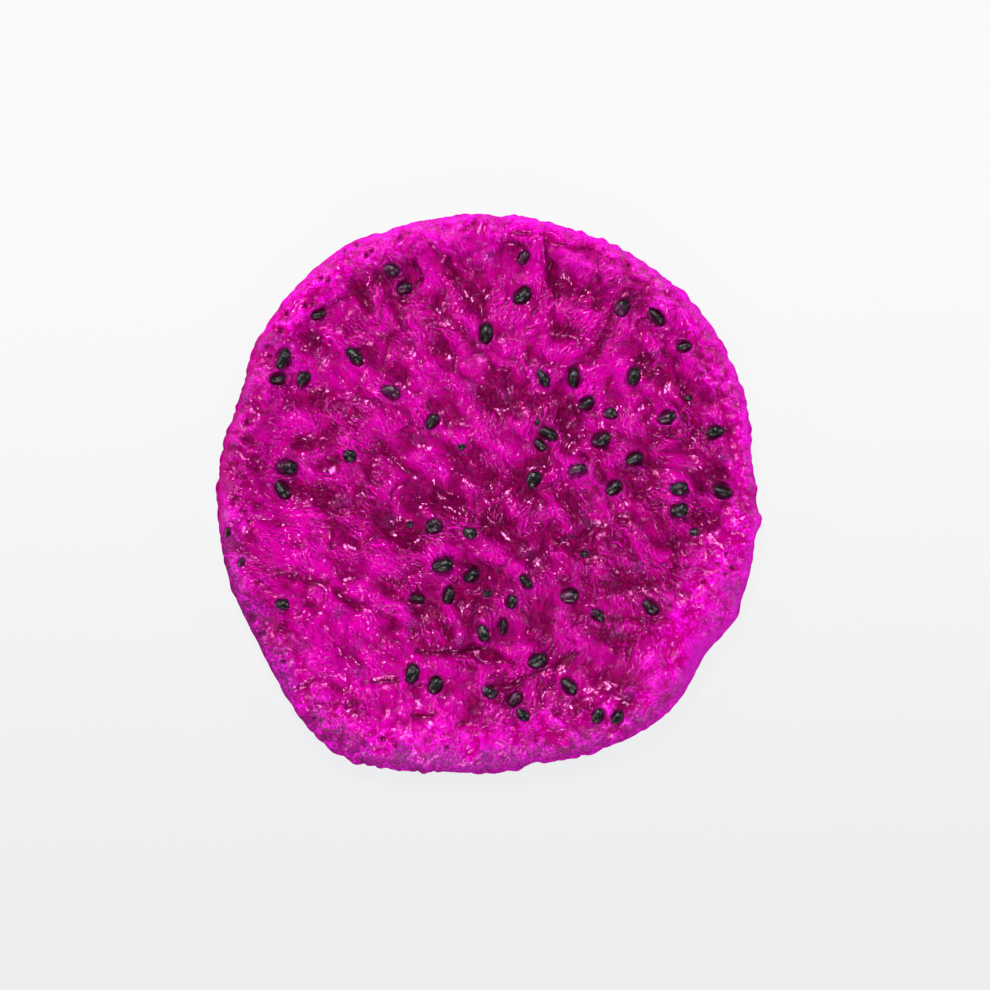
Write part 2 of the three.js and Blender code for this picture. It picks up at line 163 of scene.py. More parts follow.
def distance_to_path(x: np.ndarray, y: np.ndarray, path: list[tuple[float, float]]) -> np.ndarray:
    """Distance of each point to a path of straight lines.

    Args:
        x: places along X.
        y: places along Y.
        path: the corners of the path.

    Returns:
        One distance for each point.
    """
    best = np.full_like(x, np.inf)
    for (ax, ay), (bx, by) in zip(path, path[1:]):
        dx, dy = bx - ax, by - ay
        t = np.clip(((x - ax) * dx + (y - ay) * dy) / (dx * dx + dy * dy), 0, 1)
        best = np.minimum(best, np.hypot(x - ax - t * dx, y - ay - t * dy))
    return best


def rows_of(items: Any, name: str) -> np.ndarray:
    """A property of three numbers of all of a mesh's points, one row for each.

    Args:
        items: the mesh's points or their normals.
        name: the property.

    Returns:
        The rows.
    """
    values = np.empty(len(items) * 3)
    items.foreach_get(name, values)
    return values.reshape(-1, 3)


def set_places(mesh: bpy.types.Mesh, middle: tuple[float, float], x: np.ndarray, y: np.ndarray,
               z: np.ndarray) -> None:
    """Moves a mesh's points to places in mm, with the middle of the slice's box at the origin."""
    mesh.vertices.foreach_set("co", (np.column_stack((x - middle[0], y - middle[1], z)) * MM).ravel())
    mesh.update()


# ---- The slice's form, as in the solid ----


@dataclass(frozen=True)
class Foot:
    """A flat spot of the underside that the slice rests on, from the outline's centre, in mm."""

    x: float
    y: float


@dataclass(frozen=True)
class SliceForm:
    """The form of the flesh, in mm, from the centre that the outline is measured from."""

    # Distance to the cut edge at even turns from +X towards +Y.
    outline_radii: tuple[float, ...] = (
        32.0, 31.9, 32.75, 33.1, 33.4, 33.4, 33.4, 33.2, 33.3,
        33.6, 33.6, 33.9, 34.4, 34.1, 33.6, 32.9, 32.1, 32.4,
        32.6, 32.8, 33.0, 33.0, 33.8, 35.3, 36.3, 35.3, 34.1,
        33.7, 33.3, 33.5, 34.0, 34.0, 32.9, 32.8, 32.85, 32.4,
    )
    # Bumps and nicks in the edge: direction in degrees, half width in degrees, rise.
    edge_marks: tuple[tuple[float, float, float], ...] = (
        (354, 2.2, 0.7), (1, 1.0, 0.3), (147, 2.0, 0.4), (88, 1.3, -0.4),
        (112, 1.4, -0.35), (279.5, 1.5, -0.4), (333, 3.0, 0.5), (323, 4.0, -0.35),
    )
    box_middle: tuple[float, float] = (0.01, -0.08)
    edge_height: float = 2.3
    edge_drop: float = 0.5
    crest_height: float = 5.4
    crest_drop: float = 1.0
    crest_inset: float = 3.0
    shoulder_inset: float = 2.6
    rim_fall: float = 3.8
    floor_height: float = 3.6
    underside_height: float = 1.15
    underside_inset: float = 3.2
    underside_curl: float = 0.5
    curl_full: float = 2
    curl_gone: float = 10
    edge_roundness: float = 2.2
    lower_side: tuple[float, float, float] = (267, 0.0, 0.45)  # direction, where it fades, where it is full
    flesh_waves: Waves = Waves(41, 14, 11, 4.5, 0.3)
    underside_waves: Waves = Waves(97, 14, 13, 5, 0.3)
    swell_share: float = 0.9
    feet_count: int = 3
    first_foot: float = 90
    foot_distance: float = 19
    foot_spread: float = 3.3
    foot_squareness: float = 2
    foot_depth: float = 2.1
    foot_clear: float = 5
    wall_inset: float = 1.3
    # Swells and pits: x, y, half length, half width, direction in degrees, rise.
    relief: tuple[tuple[float, ...], ...] = (
        # swells, upper half
        (3.0, 17.3, 2.6, 1.9, 20, 0.75), (8.3, 16.9, 1.7, 1.2, 0, 0.45), (12.0, 12.4, 1.6, 1.2, 30, 0.45),
        (6.5, 21.9, 1.9, 1.3, 10, 0.5), (19.0, 17.4, 2.0, 1.4, -30, 0.5),
        (-3.8, 6.4, 2.2, 1.4, -20, 0.75), (2.8, 4.4, 2.8, 1.2, 0, 0.7), (7.2, 1.7, 1.7, 1.2, 20, 0.5),
        (9.8, 3.7, 1.4, 1.1, 0, 0.4), (-8.5, 3.9, 1.7, 1.3, -40, 0.55), (-6.0, 1.9, 1.8, 1.2, 0, 0.5),
        (-13.5, 8.4, 2.6, 1.3, -35, 0.6), (-9.0, 11.4, 2.0, 1.3, -30, 0.45),
        (-23.5, 8.4, 2.4, 1.4, 0, 0.55), (-17.5, 5.7, 1.6, 1.2, 0, 0.4),
        (-15.0, 20.0, 3.2, 1.5, -30, 0.45), (-5.0, 19.5, 2.4, 1.4, -55, 0.4),
        (-6.5, 15.5, 2.2, 1.2, -40, 0.35), (22.5, 1.2, 1.9, 1.2, 10, 0.5),
        (15.8, 19.5, 2.0, 1.2, 60, 0.35),
        # swells, lower half
        (-22.5, -3.4, 1.8, 1.3, 0, 0.45), (-13.3, -9.3, 2.2, 1.6, 20, 0.75),
        (-19.5, -9.3, 1.9, 1.3, 0, 0.5), (-22.0, -7.6, 1.6, 1.2, 40, 0.4),
        (-15.5, -11.6, 1.7, 1.2, 0, 0.45), (-12.7, -13.4, 1.6, 1.1, 0, 0.4),
        (12.5, -3.1, 1.8, 1.2, 30, 0.45), (7.0, -2.9, 1.6, 1.1, 0, 0.4), (1.2, -7.4, 2.1, 1.3, 10, 0.55),
        (6.0, -11.6, 1.9, 1.3, -20, 0.5), (19.8, -7.6, 2.4, 1.3, -40, 0.5),
        (4.0, -19.1, 1.9, 1.2, 20, 0.45), (-7.5, -21.6, 2.0, 1.3, 0, 0.45),
        (11.0, -18.2, 2.4, 1.2, -50, 0.4), (-19.5, -21.0, 1.9, 1.3, -30, 0.4),
        (19.0, -20.5, 2.4, 1.5, 40, 0.4),
        # swells of the rim
        (-15.0, -28.3, 2.4, 1.6, -15, 0.55), (-8.5, -29.6, 2.4, 1.6, 0, 0.55),
        (1.5, -29.4, 2.9, 1.8, 0, 0.65), (6.8, -27.8, 1.9, 1.4, 0, 0.4), (-4.5, -26.2, 1.8, 1.2, 0, 0.35),
        (19.8, -24.2, 2.2, 1.5, 40, 0.4), (26.8, -11.5, 3.0, 1.6, 70, 0.35),
        (-29.6, -1.4, 1.9, 1.5, 90, 0.3), (-28.3, -9.0, 2.9, 1.5, 80, 0.35),
        (-19.5, 25.4, 2.6, 1.6, 35, 0.3), (0.5, 30.6, 3.0, 1.4, 0, 0.3), (24.2, 20.8, 2.8, 1.5, -45, 0.3),
        # pits, upper half
        (1.8, 9.9, 2.0, 1.5, 0, -0.9), (7.0, 11.4, 1.5, 1.2, 0, -0.6), (9.5, 8.9, 2.4, 1.7, 20, -0.9),
        (-6.0, -1.4, 3.6, 1.2, 0, -0.7), (-19.5, -1.0, 2.6, 1.1, -55, -0.6),
        (16.8, 2.4, 1.4, 1.1, 0, -0.5), (19.0, 14.2, 1.7, 1.2, -30, -0.5),
        (27.0, 2.0, 1.4, 1.2, 90, -0.7), (28.0, -1.6, 1.4, 1.1, 90, -0.6),
        (-30.5, 2.6, 1.5, 1.3, 90, -0.7), (10.5, 24.0, 1.7, 1.1, 0, -0.5),
        (8.0, 19.0, 2.9, 0.9, 0, -0.45), (-0.8, 26.4, 1.5, 1.1, 0, -0.5), (-9.0, 25.7, 1.6, 1.1, 0, -0.5),
        (-10.4, 22.9, 1.4, 1.1, 0, -0.45), (-21.5, 18.6, 1.9, 1.1, -60, -0.5),
        (19.6, 20.8, 1.8, 1.1, -50, -0.5), (-22.0, 5.5, 1.5, 1.1, 0, -0.45),
        (-18.0, 7.6, 2.5, 0.9, 15, -0.4), (-12.0, 4.6, 2.6, 1.0, -45, -0.5),
        (5.0, 29.6, 3.6, 1.0, 0, -0.6), (12.5, 28.0, 1.8, 0.9, -30, -0.5),
        (4.0, 28.0, 1.3, 1.0, 0, -0.45),
        # pits, lower half
        (-12.0, -4.0, 1.5, 1.2, 0, -0.6), (-9.0, -6.0, 1.5, 1.1, 0, -0.6), (1.0, -4.0, 1.8, 1.1, 0, -0.6),
        (8.0, -6.0, 1.5, 1.1, 0, -0.55), (12.0, -7.5, 1.5, 1.1, 0, -0.55), (5.0, -8.0, 1.4, 1.0, 0, -0.5),
        (17.0, -3.5, 1.5, 1.1, 0, -0.55), (24.0, -3.3, 2.2, 1.1, 10, -0.6),
        (-26.8, -16.3, 1.5, 1.3, 0, -0.6), (14.5, -17.1, 1.5, 1.1, 0, -0.5),
        (18.5, -11.1, 3.4, 1.1, 0, -0.6), (22.0, -6.4, 1.2, 0.9, 0, -0.4),
        (-18.5, -26.0, 1.6, 1.2, 0, -0.55), (-16.0, -13.6, 1.3, 1.0, 0, -0.45),
        (-22.0, -24.0, 1.4, 1.1, 0, -0.45), (-8.6, -15.0, 1.4, 2.0, 0, -0.5),
        (-3.0, -19.3, 3.2, 1.0, -5, -0.5), (3.5, -25.1, 1.5, 1.1, 0, -0.55),
        (10.0, -21.0, 1.7, 1.1, 30, -0.5),
    )

    def feet(self) -> list[Foot]:
        """The flat spots, at even turns round the slice's weight."""
        angles = [math.radians(self.first_foot + 360 / self.feet_count * i) for i in range(self.feet_count)]
        return [Foot(self.foot_distance * math.cos(a), self.foot_distance * math.sin(a)) for a in angles]

    def edge_radius(self, direction: np.ndarray) -> np.ndarray:
        """Distance from the outline's centre to the edge, in directions given in degrees.

        Args:
            direction: the directions.

        Returns:
            The distances: a smooth curve through the radii, with its bumps and nicks.
        """
        radii = np.array(self.outline_radii)
        turn = (direction / 360 * len(radii)) % len(radii)
        index = np.floor(turn).astype(int)
        t = turn - index
        a, b, c, d = (radii[(index + step) % len(radii)] for step in (-1, 0, 1, 2))
        radius = 0.5 * (2 * b + (c - a) * t + (2 * a - 5 * b + 4 * c - d) * t**2
                        + (3 * b - a - 3 * c + d) * t**3)
        for at, half_width, rise in self.edge_marks:
            away = (direction - at + 180) % 360 - 180
            radius = radius + rise * np.exp(-((away / half_width) ** 2))
        return radius

    def place_of(self, x: np.ndarray, y: np.ndarray) -> tuple[np.ndarray, np.ndarray]:
        """How far points are in from the edge, and how much they belong to the lower side.

        Args:
            x: places along X.
            y: places along Y.

        Returns:
            The insets in mm, and the shares of the lower side from 0 to 1.
        """
        direction = np.degrees(np.arctan2(y, x))
        towards, fades, full = self.lower_side
        lower = smooth_step(fades, full, np.cos(np.radians(direction - towards)))
        return self.edge_radius(direction) - np.hypot(x, y), lower

    def lowness(self, lower: np.ndarray) -> np.ndarray:
        """Shares of the lower side, sharpened so that they fade nearer its ends."""
        return smooth_step(0.1, 0.9, lower)

    def rounding(self, inset: np.ndarray, reach: Union[np.ndarray, float]) -> np.ndarray:
        """Height from 0 at the edge to 1 at an inset, along a rounded quarter curve."""
        inner = 1 - np.clip(inset / reach, 0, 1)
        return (1 - inner**self.edge_roundness) ** (1 / self.edge_roundness)

    def relief_at(self, x: np.ndarray, y: np.ndarray) -> np.ndarray:
        """Sum of the listed swells and pits, and of the low waves between them.

        Args:
            x: places along X.
            y: places along Y.

        Returns:
            How far the relief rises at each point.
        """
        height = np.zeros_like(x)
        for cx, cy, half_length, half_width, heading, rise in self.relief:
            along, across = turned(x, y, cx, cy, heading)
            height += rise * np.exp(-((along / half_length) ** 2) - (across / half_width) ** 2)
        return self.swell_share * height + self.flesh_waves(x, y)

    def upper_height(self, x: np.ndarray, y: np.ndarray) -> np.ndarray:
        """Height of the upper face.

        Args:
            x: places along X.
            y: places along Y.

        Returns:
            The heights, in mm.
        """
        inset, lower = self.place_of(x, y)
        base = self.edge_height - self.edge_drop * lower
        crest = self.crest_height - self.crest_drop * lower
        crest_inset = self.crest_inset + self.shoulder_inset * lower
        up = self.rounding(inset, crest_inset)
        sunk = (crest - self.floor_height) * smooth_step(0, self.rim_fall, inset - crest_inset)
        return base + (crest - base) * up - sunk + up * self.relief_at(x, y)

    def under_height(self, x: np.ndarray, y: np.ndarray) -> np.ndarray:
        """Height of the underside.

        Args:
            x: places along X.
            y: places along Y.

        Returns:
            The heights, in mm.
        """
        inset, lower = self.place_of(x, y)
        base = self.edge_height - self.edge_drop * lower
        down = self.rounding(inset, self.underside_inset)
        curl = self.underside_curl * (1 - smooth_step(self.curl_full, self.curl_gone, inset))
        level = self.underside_height + curl + self.underside_waves(x, y)
        height = base + (level - base) * down
        for foot in self.feet():
            height -= self.foot_depth * bell(x, y, foot, self.foot_spread, self.foot_squareness)
        return np.maximum(0, height)


# ---- Where the seeds are, as in the solid ----


@dataclass(frozen=True)
class SeedPlace:
    """One seed: its place, where its blunt end points, in degrees, its length, and its width over that."""

    x: float
    y: float
    direction: float
    length: float = 2.3
    breadth: float = 0.62


BARE_SEEDS = tuple(SeedPlace(*row) for row in (
    # upper left
    (-11.8, 26.5, -20, 1.9, 0.72), (-10.2, 24.5, 25, 1.9), (-20.5, 21.2, 15, 1.7, 0.45),
    (-24.7, 15.9, 65, 2.6, 0.46), (-25.3, 13.4, 10, 1.9, 0.45), (-22.2, 13.4, 50, 1.9, 0.74),
    (-16.2, 16.2, -45, 2.3, 0.64), (-11.8, 11.8, -20, 2.3, 0.58), (-6.8, 8.4, 55, 2.0, 0.55),
    (-3.3, 5.3, 30, 1.1, 0.75), (-16.7, 4.3, 0, 1.6, 0.92), (-24.2, 2.9, -5, 2.6), (-24.8, 0.2, -50, 2.2),
    (-0.5, 19.0, 80, 2.4, 0.66),
    # upper right
    (4.1, 28.1, 55, 1.7, 0.6), (3.9, 23.6, 40, 2.3, 0.66), (16.0, 22.1, 60, 2.0, 0.88),
    (20.0, 20.8, -45, 2.3, 0.4), (23.3, 17.3, 10, 1.8, 0.45), (6.4, 13.5, -60, 2.2, 0.54),
    (10.2, 13.7, 80, 2.3, 0.58), (17.3, 13.8, 75, 2.2, 0.66), (11.6, 10.6, 35, 2.1, 0.4),
    (14.5, 9.3, 0, 1.6, 0.88), (23.9, 11.2, 0, 0.9), (21.3, 8.9, 20, 2.2, 0.48), (5.8, 8.2, 90, 0.9),
    (7.1, 6.9, -25, 2.3, 0.58), (6.1, 5.6, -50, 1.6), (13.4, 6.3, 30, 2.3, 0.64),
    (27.0, 7.0, 10, 2.1, 0.54), (17.4, 3.9, 25, 2.1, 0.58), (10.6, 2.5, 15, 2.3, 0.52),
    (5.4, 1.4, 60, 2.0, 0.84), (14.9, 0.4, 40, 2.2, 0.5), (22.7, 0.4, 5, 2.2, 0.66),
    (27.9, 0.0, -20, 2.4, 0.5),
    # lower left
    (-6.6, -4.2, 30, 2.0, 0.85), (-2.3, -4.9, -10, 1.7, 0.8), (-9.5, -4.0, 0, 0.9),
    (-5.6, -8.9, 15, 2.6, 0.58), (-2.2, -10.0, 40, 2.0, 0.58), (-4.9, -12.4, 75, 2.0, 0.58),
    (-24.7, -13.5, 0, 1.6, 0.8), (-8.7, -12.9, -5, 1.8, 0.38), (-9.3, -21.7, 70, 2.2, 0.7),
    (-6.4, -23.2, 60, 2.2, 0.68), (-31.3, -4.9, 80, 1.2, 0.5), (-29.7, -8.5, 60, 1.2, 0.5),
    # lower right
    (-0.7, -17.0, -70, 2.0, 0.74), (4.4, -10.8, -45, 2.0, 0.5), (2.6, -13.2, 80, 1.7, 0.66),
    (9.6, -12.4, 15, 2.2, 0.76), (12.9, -14.9, -40, 1.8, 0.64), (19.3, -13.8, -40, 2.2, 0.54),
    (1.6, -16.2, 80, 1.8, 0.38), (5.8, -20.3, 25, 2.3, 0.66), (9.5, -23.3, -45, 2.3, 0.52),
    (0.1, -24.0, -25, 1.9, 0.76), (3.1, -25.0, 60, 2.0, 0.76), (4.0, -26.7, -45, 1.7, 0.7),
    (13.0, -26.8, 60, 1.8, 0.66), (15.2, -27.0, 50, 1.8, 0.66), (22.7, -2.2, 20, 2.2, 0.74),
    (24.6, -4.9, 0, 1.3, 0.85), (11.4, -7.5, 0, 1.1), (-0.3, -12.3, 0, 1.1),
))
COVERED_SEEDS = tuple(SeedPlace(*row) for row in (
    (-8.3, 6.5, 0), (-2.2, 12.5, -60), (-29.0, 11.1, 70), (-27.0, 17.6, 50), (-25.5, 18.2, 30),
    (0.1, 28.3, 0), (20.2, 16.6, 10), (27.8, 3.9, -40), (2.0, 11.5, 0), (-12.0, -3.5, 20),
    (-15.9, -18.6, 40), (-22.0, -18.3, 0), (-15.7, -21.7, 0), (-18.0, -14.5, 60), (-9.1, -15.7, 0),
    (-3.5, -18.0, 30), (-23.2, -23.0, -40), (-17.5, -1.0, 0), (17.3, -26.8, 30), (16.5, -24.5, 60),
    (12.0, -3.7, -50), (4.5, -7.3, 0), (15.3, -17.0, 0), (17.7, -9.0, 0),
))


@dataclass(frozen=True)
class UnderSeeds:
    """The rule that places the underside's seeds: rings of even turns, each seed a little astray."""

    seed: int = 613
    rings: tuple[tuple[float, int], ...] = ((6, 4), (13, 8), (21, 12))
    stray: float = 1.6
    shortest: float = 1.8
    longest: float = 2.4

    def places(self, form: SliceForm) -> list[SeedPlace]:
        """The seeds' places, leaving out those on the feet.

        Args:
            form: the slice's form, which has the feet.

        Returns:
            The places, in the order that they are drawn.
        """
        draws = Draws(self.seed)
        found = []
        for distance, count in self.rings:
            for i in range(count):
                around = (i + 0.5 * draws.next()) / count * 2 * math.pi
                away = distance + draws.between(-self.stray, self.stray)
                direction = draws.between(0, 360)
                length = draws.between(self.shortest, self.longest)
                x, y = away * math.cos(around), away * math.sin(around)
                found.append(SeedPlace(x, y, direction, length))
        return [p for p in found
                if all(math.hypot(p.x - foot.x, p.y - foot.y) > form.foot_clear for foot in form.feet())]


# ---- Shaders as expressions ----

Number = Union["Shade", float, int]
Colour = tuple[float, float, float]


class Recipe:
    """A material's node tree, and the one method that adds a node to it."""

    def __init__(self, name: str) -> None:
        """Makes an empty material.

        Args:
            name: the material's name.
        """
        self.material = bpy.data.materials.new(name)
        self.material.use_nodes = True
        self.tree = self.material.node_tree
        self.tree.nodes.clear()

    def node(self, kind: str, settings: dict[str, Any] | None = None,
             sockets: dict[str, Any] | None = None) -> bpy.types.Node:
        """Adds a node.

        Args:
            kind: the node's type, without its ShaderNode prefix.
            settings: the node's own settings, set first.
            sockets: values or links of its inputs, by identifier or by name.

        Returns:
            The node.
        """
        node = self.tree.nodes.new("ShaderNode" + kind)
        for key, value in (settings or {}).items():
            setattr(node, key, value)
        for key, value in (sockets or {}).items():
            socket = next(s for s in node.inputs if key in (s.identifier, s.name) and s.enabled)
            if isinstance(value, Shade):
                self.tree.links.new(value.socket, socket)
            elif isinstance(value, bpy.types.NodeSocket):
                self.tree.links.new(value, socket)
            elif socket.type == "RGBA" and len(value) == 3:
                socket.default_value = (*value, 1.0)
            else:
                socket.default_value = value
        return node

    def shade(self, kind: str, settings: dict[str, Any] | None = None,
              sockets: dict[str, Any] | None = None, output: str | int = 0) -> "Shade":
        """Adds a node and wraps one of its outputs, with the same arguments as node()."""
        return Shade(self, self.node(kind, settings, sockets).outputs[output])

    def point(self) -> "Shade":
        """The place on the piece, in mm."""
        place = self.shade("TexCoord", output="Object")
        return self.shade("VectorMath", {"operation": "SCALE"}, {"Vector": place, "Scale": 1 / MM}, "Vector")

    def attribute(self, name: str) -> "Shade":
        """A number that the mesh holds at each of its points."""
        return self.shade("Attribute", {"attribute_name": name}, output="Fac")

    def noise(self, where: "Shade", scale: float, detail: float = 2, roughness: float = 0.5) -> "Shade":
        """Soft noise of 0 to 1, with scale features to a millimetre."""
        return self.shade("TexNoise", {}, {"Vector": where, "Scale": scale, "Detail": detail,
                                           "Roughness": roughness}, "Fac")

    def warped(self, where: "Shade", amount: float, scale: float) -> "Shade":
        """The place pushed about by soft noise.

        Args:
            where: the place, in mm.
            amount: how far it is pushed, in mm.
            scale: features of the noise to a millimetre.

        Returns:
            The new place.
        """
        push = self.shade("TexNoise", {}, {"Vector": where, "Scale": scale, "Detail": 1.0}, "Color")
        return self.shade("VectorMath", {"operation": "MULTIPLY_ADD"},
                          {"Vector": push, "Vector_001": (amount,) * 3, "Vector_002": where}, "Vector")

    def cells(self, where: "Shade", scale: float) -> "Shade":
        """Distance to the nearest of scattered points."""
        return self.shade("TexVoronoi", {}, {"Vector": where, "Scale": scale}, "Distance")

    def fibres(self, where: "Shade", turn: "Shade", wavelength: float, patch: float,
               parallel: float) -> "Shade":
        """Fine parallel streaks whose direction changes over the piece.

        Args:
            where: the place, in mm.
            turn: the direction across the streaks, in radians.
            wavelength: from streak to streak, in mm.
            patch: size of a patch of like streaks, in mm.
            parallel: how straight they run, from 0 to 1.

        Returns:
            The streaks' height, from 0 to 1.
        """
        return self.shade("TexGabor", {"gabor_type": "2D"},
                          {"Vector": where, "Scale": 1 / patch, "Frequency": patch / wavelength,
                           "Anisotropy": parallel, "Orientation 2D": turn}, "Value")

    def mix(self, share: Number, low: Any, high: Any) -> "Shade":
        """Mixes two colours by a share from 0 to 1."""
        return self.shade("Mix", {"data_type": "RGBA", "clamp_factor": True},
                          {"Factor_Float": share, "A_Color": low, "B_Color": high}, 2)

    def bump(self, height: "Shade") -> "Shade":
        """A normal from a height in mm."""
        return self.shade("Bump", {}, {"Strength": 1.0, "Distance": MM, "Height": height}, "Normal")

    def principled(self, **sockets: Any) -> "Shade":
        """Adds a Principled shader, whose inputs are named with underscores for the spaces."""
        inputs = {name.replace("_", " "): value for name, value in sockets.items()}
        return self.shade("BsdfPrincipled", {}, inputs)

    def surface(self, shader: "Shade") -> bpy.types.Material:
        """Ends the tree with a shader and returns the finished material."""
        self.node("OutputMaterial", {}, {"Surface": shader})
        return self.material


@dataclass(frozen=True)
class Shade:
    """One output of a node, used as a number or a colour in an expression."""

    recipe: Recipe
    socket: bpy.types.NodeSocket

    def _math(self, operation: str, first: Number, second: Number = 0.0, clamp: bool = False) -> "Shade":
        """Adds a Math node on two numbers.

        Args:
            operation: what it does with them.
            first: the first number.
            second: the second, where there is one.
            clamp: whether the result is kept from 0 to 1.

        Returns:
            The result.
        """
        node = self.recipe.node("Math", {"operation": operation, "use_clamp": clamp})
        for socket, value in zip(node.inputs, (first, second)):
            if isinstance(value, Shade):
                self.recipe.tree.links.new(value.socket, socket)
            else:
                socket.default_value = float(value)
        return Shade(self.recipe, node.outputs[0])

    def __add__(self, other: Number) -> "Shade":
        """The sum."""
        return self._math("ADD", self, other)

    __radd__ = __add__

    def __sub__(self, other: Number) -> "Shade":
        """The difference."""
        return self._math("SUBTRACT", self, other)

    def __rsub__(self, other: Number) -> "Shade":
        """The difference, the other way round."""
        return self._math("SUBTRACT", other, self)

    def __mul__(self, other: Number) -> "Shade":
        """The product."""
        return self._math("MULTIPLY", self, other)

    __rmul__ = __mul__

    def swing(self, gain: float) -> "Shade":
        """How far a texture of 0 to 1 is from its middle, times a gain."""
        return (self - 0.5) * gain

    def size(self) -> "Shade":
        """The number without its sign."""
        return self._math("ABSOLUTE", self)

    def clamped(self) -> "Shade":
        """The number, kept from 0 to 1."""
        return self._math("ADD", self, 0.0, clamp=True)

    def between(self, low: float, high: float) -> "Shade":
        """A soft change from 0 at low to 1 at high; low may be the larger."""
        return self.recipe.shade("MapRange", {"interpolation_type": "SMOOTHSTEP"},
                                 {"Value": self, "From Min": low, "From Max": high})


# ---- What drying did to the flesh, and the shade and light painted on it ----


@dataclass(frozen=True)
class Crease:
    """A sharp fold pressed into the flesh along a path, in mm."""

    path: tuple[tuple[float, float], ...]
    depth: float = 0.5
    half_width: float = 0.35


@dataclass(frozen=True)
class GrainHint:
    """The direction of the fibres round a place, in degrees, and how far it reaches, in mm."""

    x: float
    y: float
    direction: float
    reach: float = 6


CREASES = tuple(Crease(*row) for row in (
    # under the rim, from upper left to right
    (((-21.5, 20.0), (-18.0, 22.9), (-14.9, 24.3)), 0.4, 0.5),
    (((-9.2, 27.6), (-8.3, 26.2), (-8.8, 24.7)), 0.6),
    (((-6.9, 29.3), (-5.1, 27.8), (-3.9, 25.6)), 0.6),
    (((3.0, 30.9), (6.9, 30.8), (7.1, 27.4), (8.1, 23.6)), 0.7),
    (((7.3, 29.9), (9.7, 29.2), (12.4, 29.0)), 0.7),
    (((12.4, 29.0), (16.5, 26.4), (18.8, 24.0)), 0.4),
    (((12.9, 28.2), (13.3, 25.0), (13.0, 22.0)), 0.3),
    (((20.8, 18.1), (22.5, 14.4), (24.0, 10.7)), 0.4),
    (((27.2, 11.5), (28.7, 7.5), (29.4, 2.5)), 0.35, 0.4),
    # in the lower left
    (((-25.0, -9.8), (-22.0, -10.7), (-19.5, -10.9)), 0.3),
    (((-18.0, -11.9), (-15.9, -14.2)), 0.5, 0.5),
    (((-20.6, -25.3), (-18.3, -25.7), (-16.3, -25.3)), 0.4),
    (((-21.8, -25.6), (-21.2, -27.1)), 0.4),
    (((-14.8, -22.9), (-11.2, -22.5)), 0.5),
    (((-9.3, -26.9), (-6.8, -26.8)), 0.6),
    (((-9.2, -19.1), (-5.8, -19.4), (-0.5, -18.9), (2.4, -20.6)), 0.6),
    # in the lower right
    (((0.1, -23.5), (2.7, -23.2), (5.3, -21.9), (8.7, -20.5), (10.9, -19.4)), 0.45),
    (((-4.0, -28.3), (-1.6, -27.2)), 0.5),
    (((7.6, -26.3), (10.2, -28.2), (12.5, -28.9)), 0.45),
    (((14.2, -15.3), (18.0, -15.3), (21.0, -15.7)), 0.5, 0.5),
    (((22.2, -6.0), (21.8, -9.4)), 0.5),
))

# How wide the velvety skin of the rim is on the upper face: direction in degrees, width in mm.
SKIN_WIDTHS = (
    (0, 2.8), (25, 3.2), (50, 2.8), (70, 2.8), (92, 2.6), (110, 2.8), (135, 4.0), (160, 2.2), (180, 1.8),
    (200, 2.4), (225, 3.6), (250, 5.6), (270, 5.8), (290, 4.6), (305, 4.0), (325, 6.8), (340, 7.0),
    (352, 4.0), (360, 2.8),
)


@dataclass(frozen=True)
class StainAndShade:
    """A zone of the flesh that is lighter or darker than the rest, in mm, from -1 dark to 1 light; some are
    its own tone, some painted shade.
    """

    x: float
    y: float
    reach: float
    shade: float


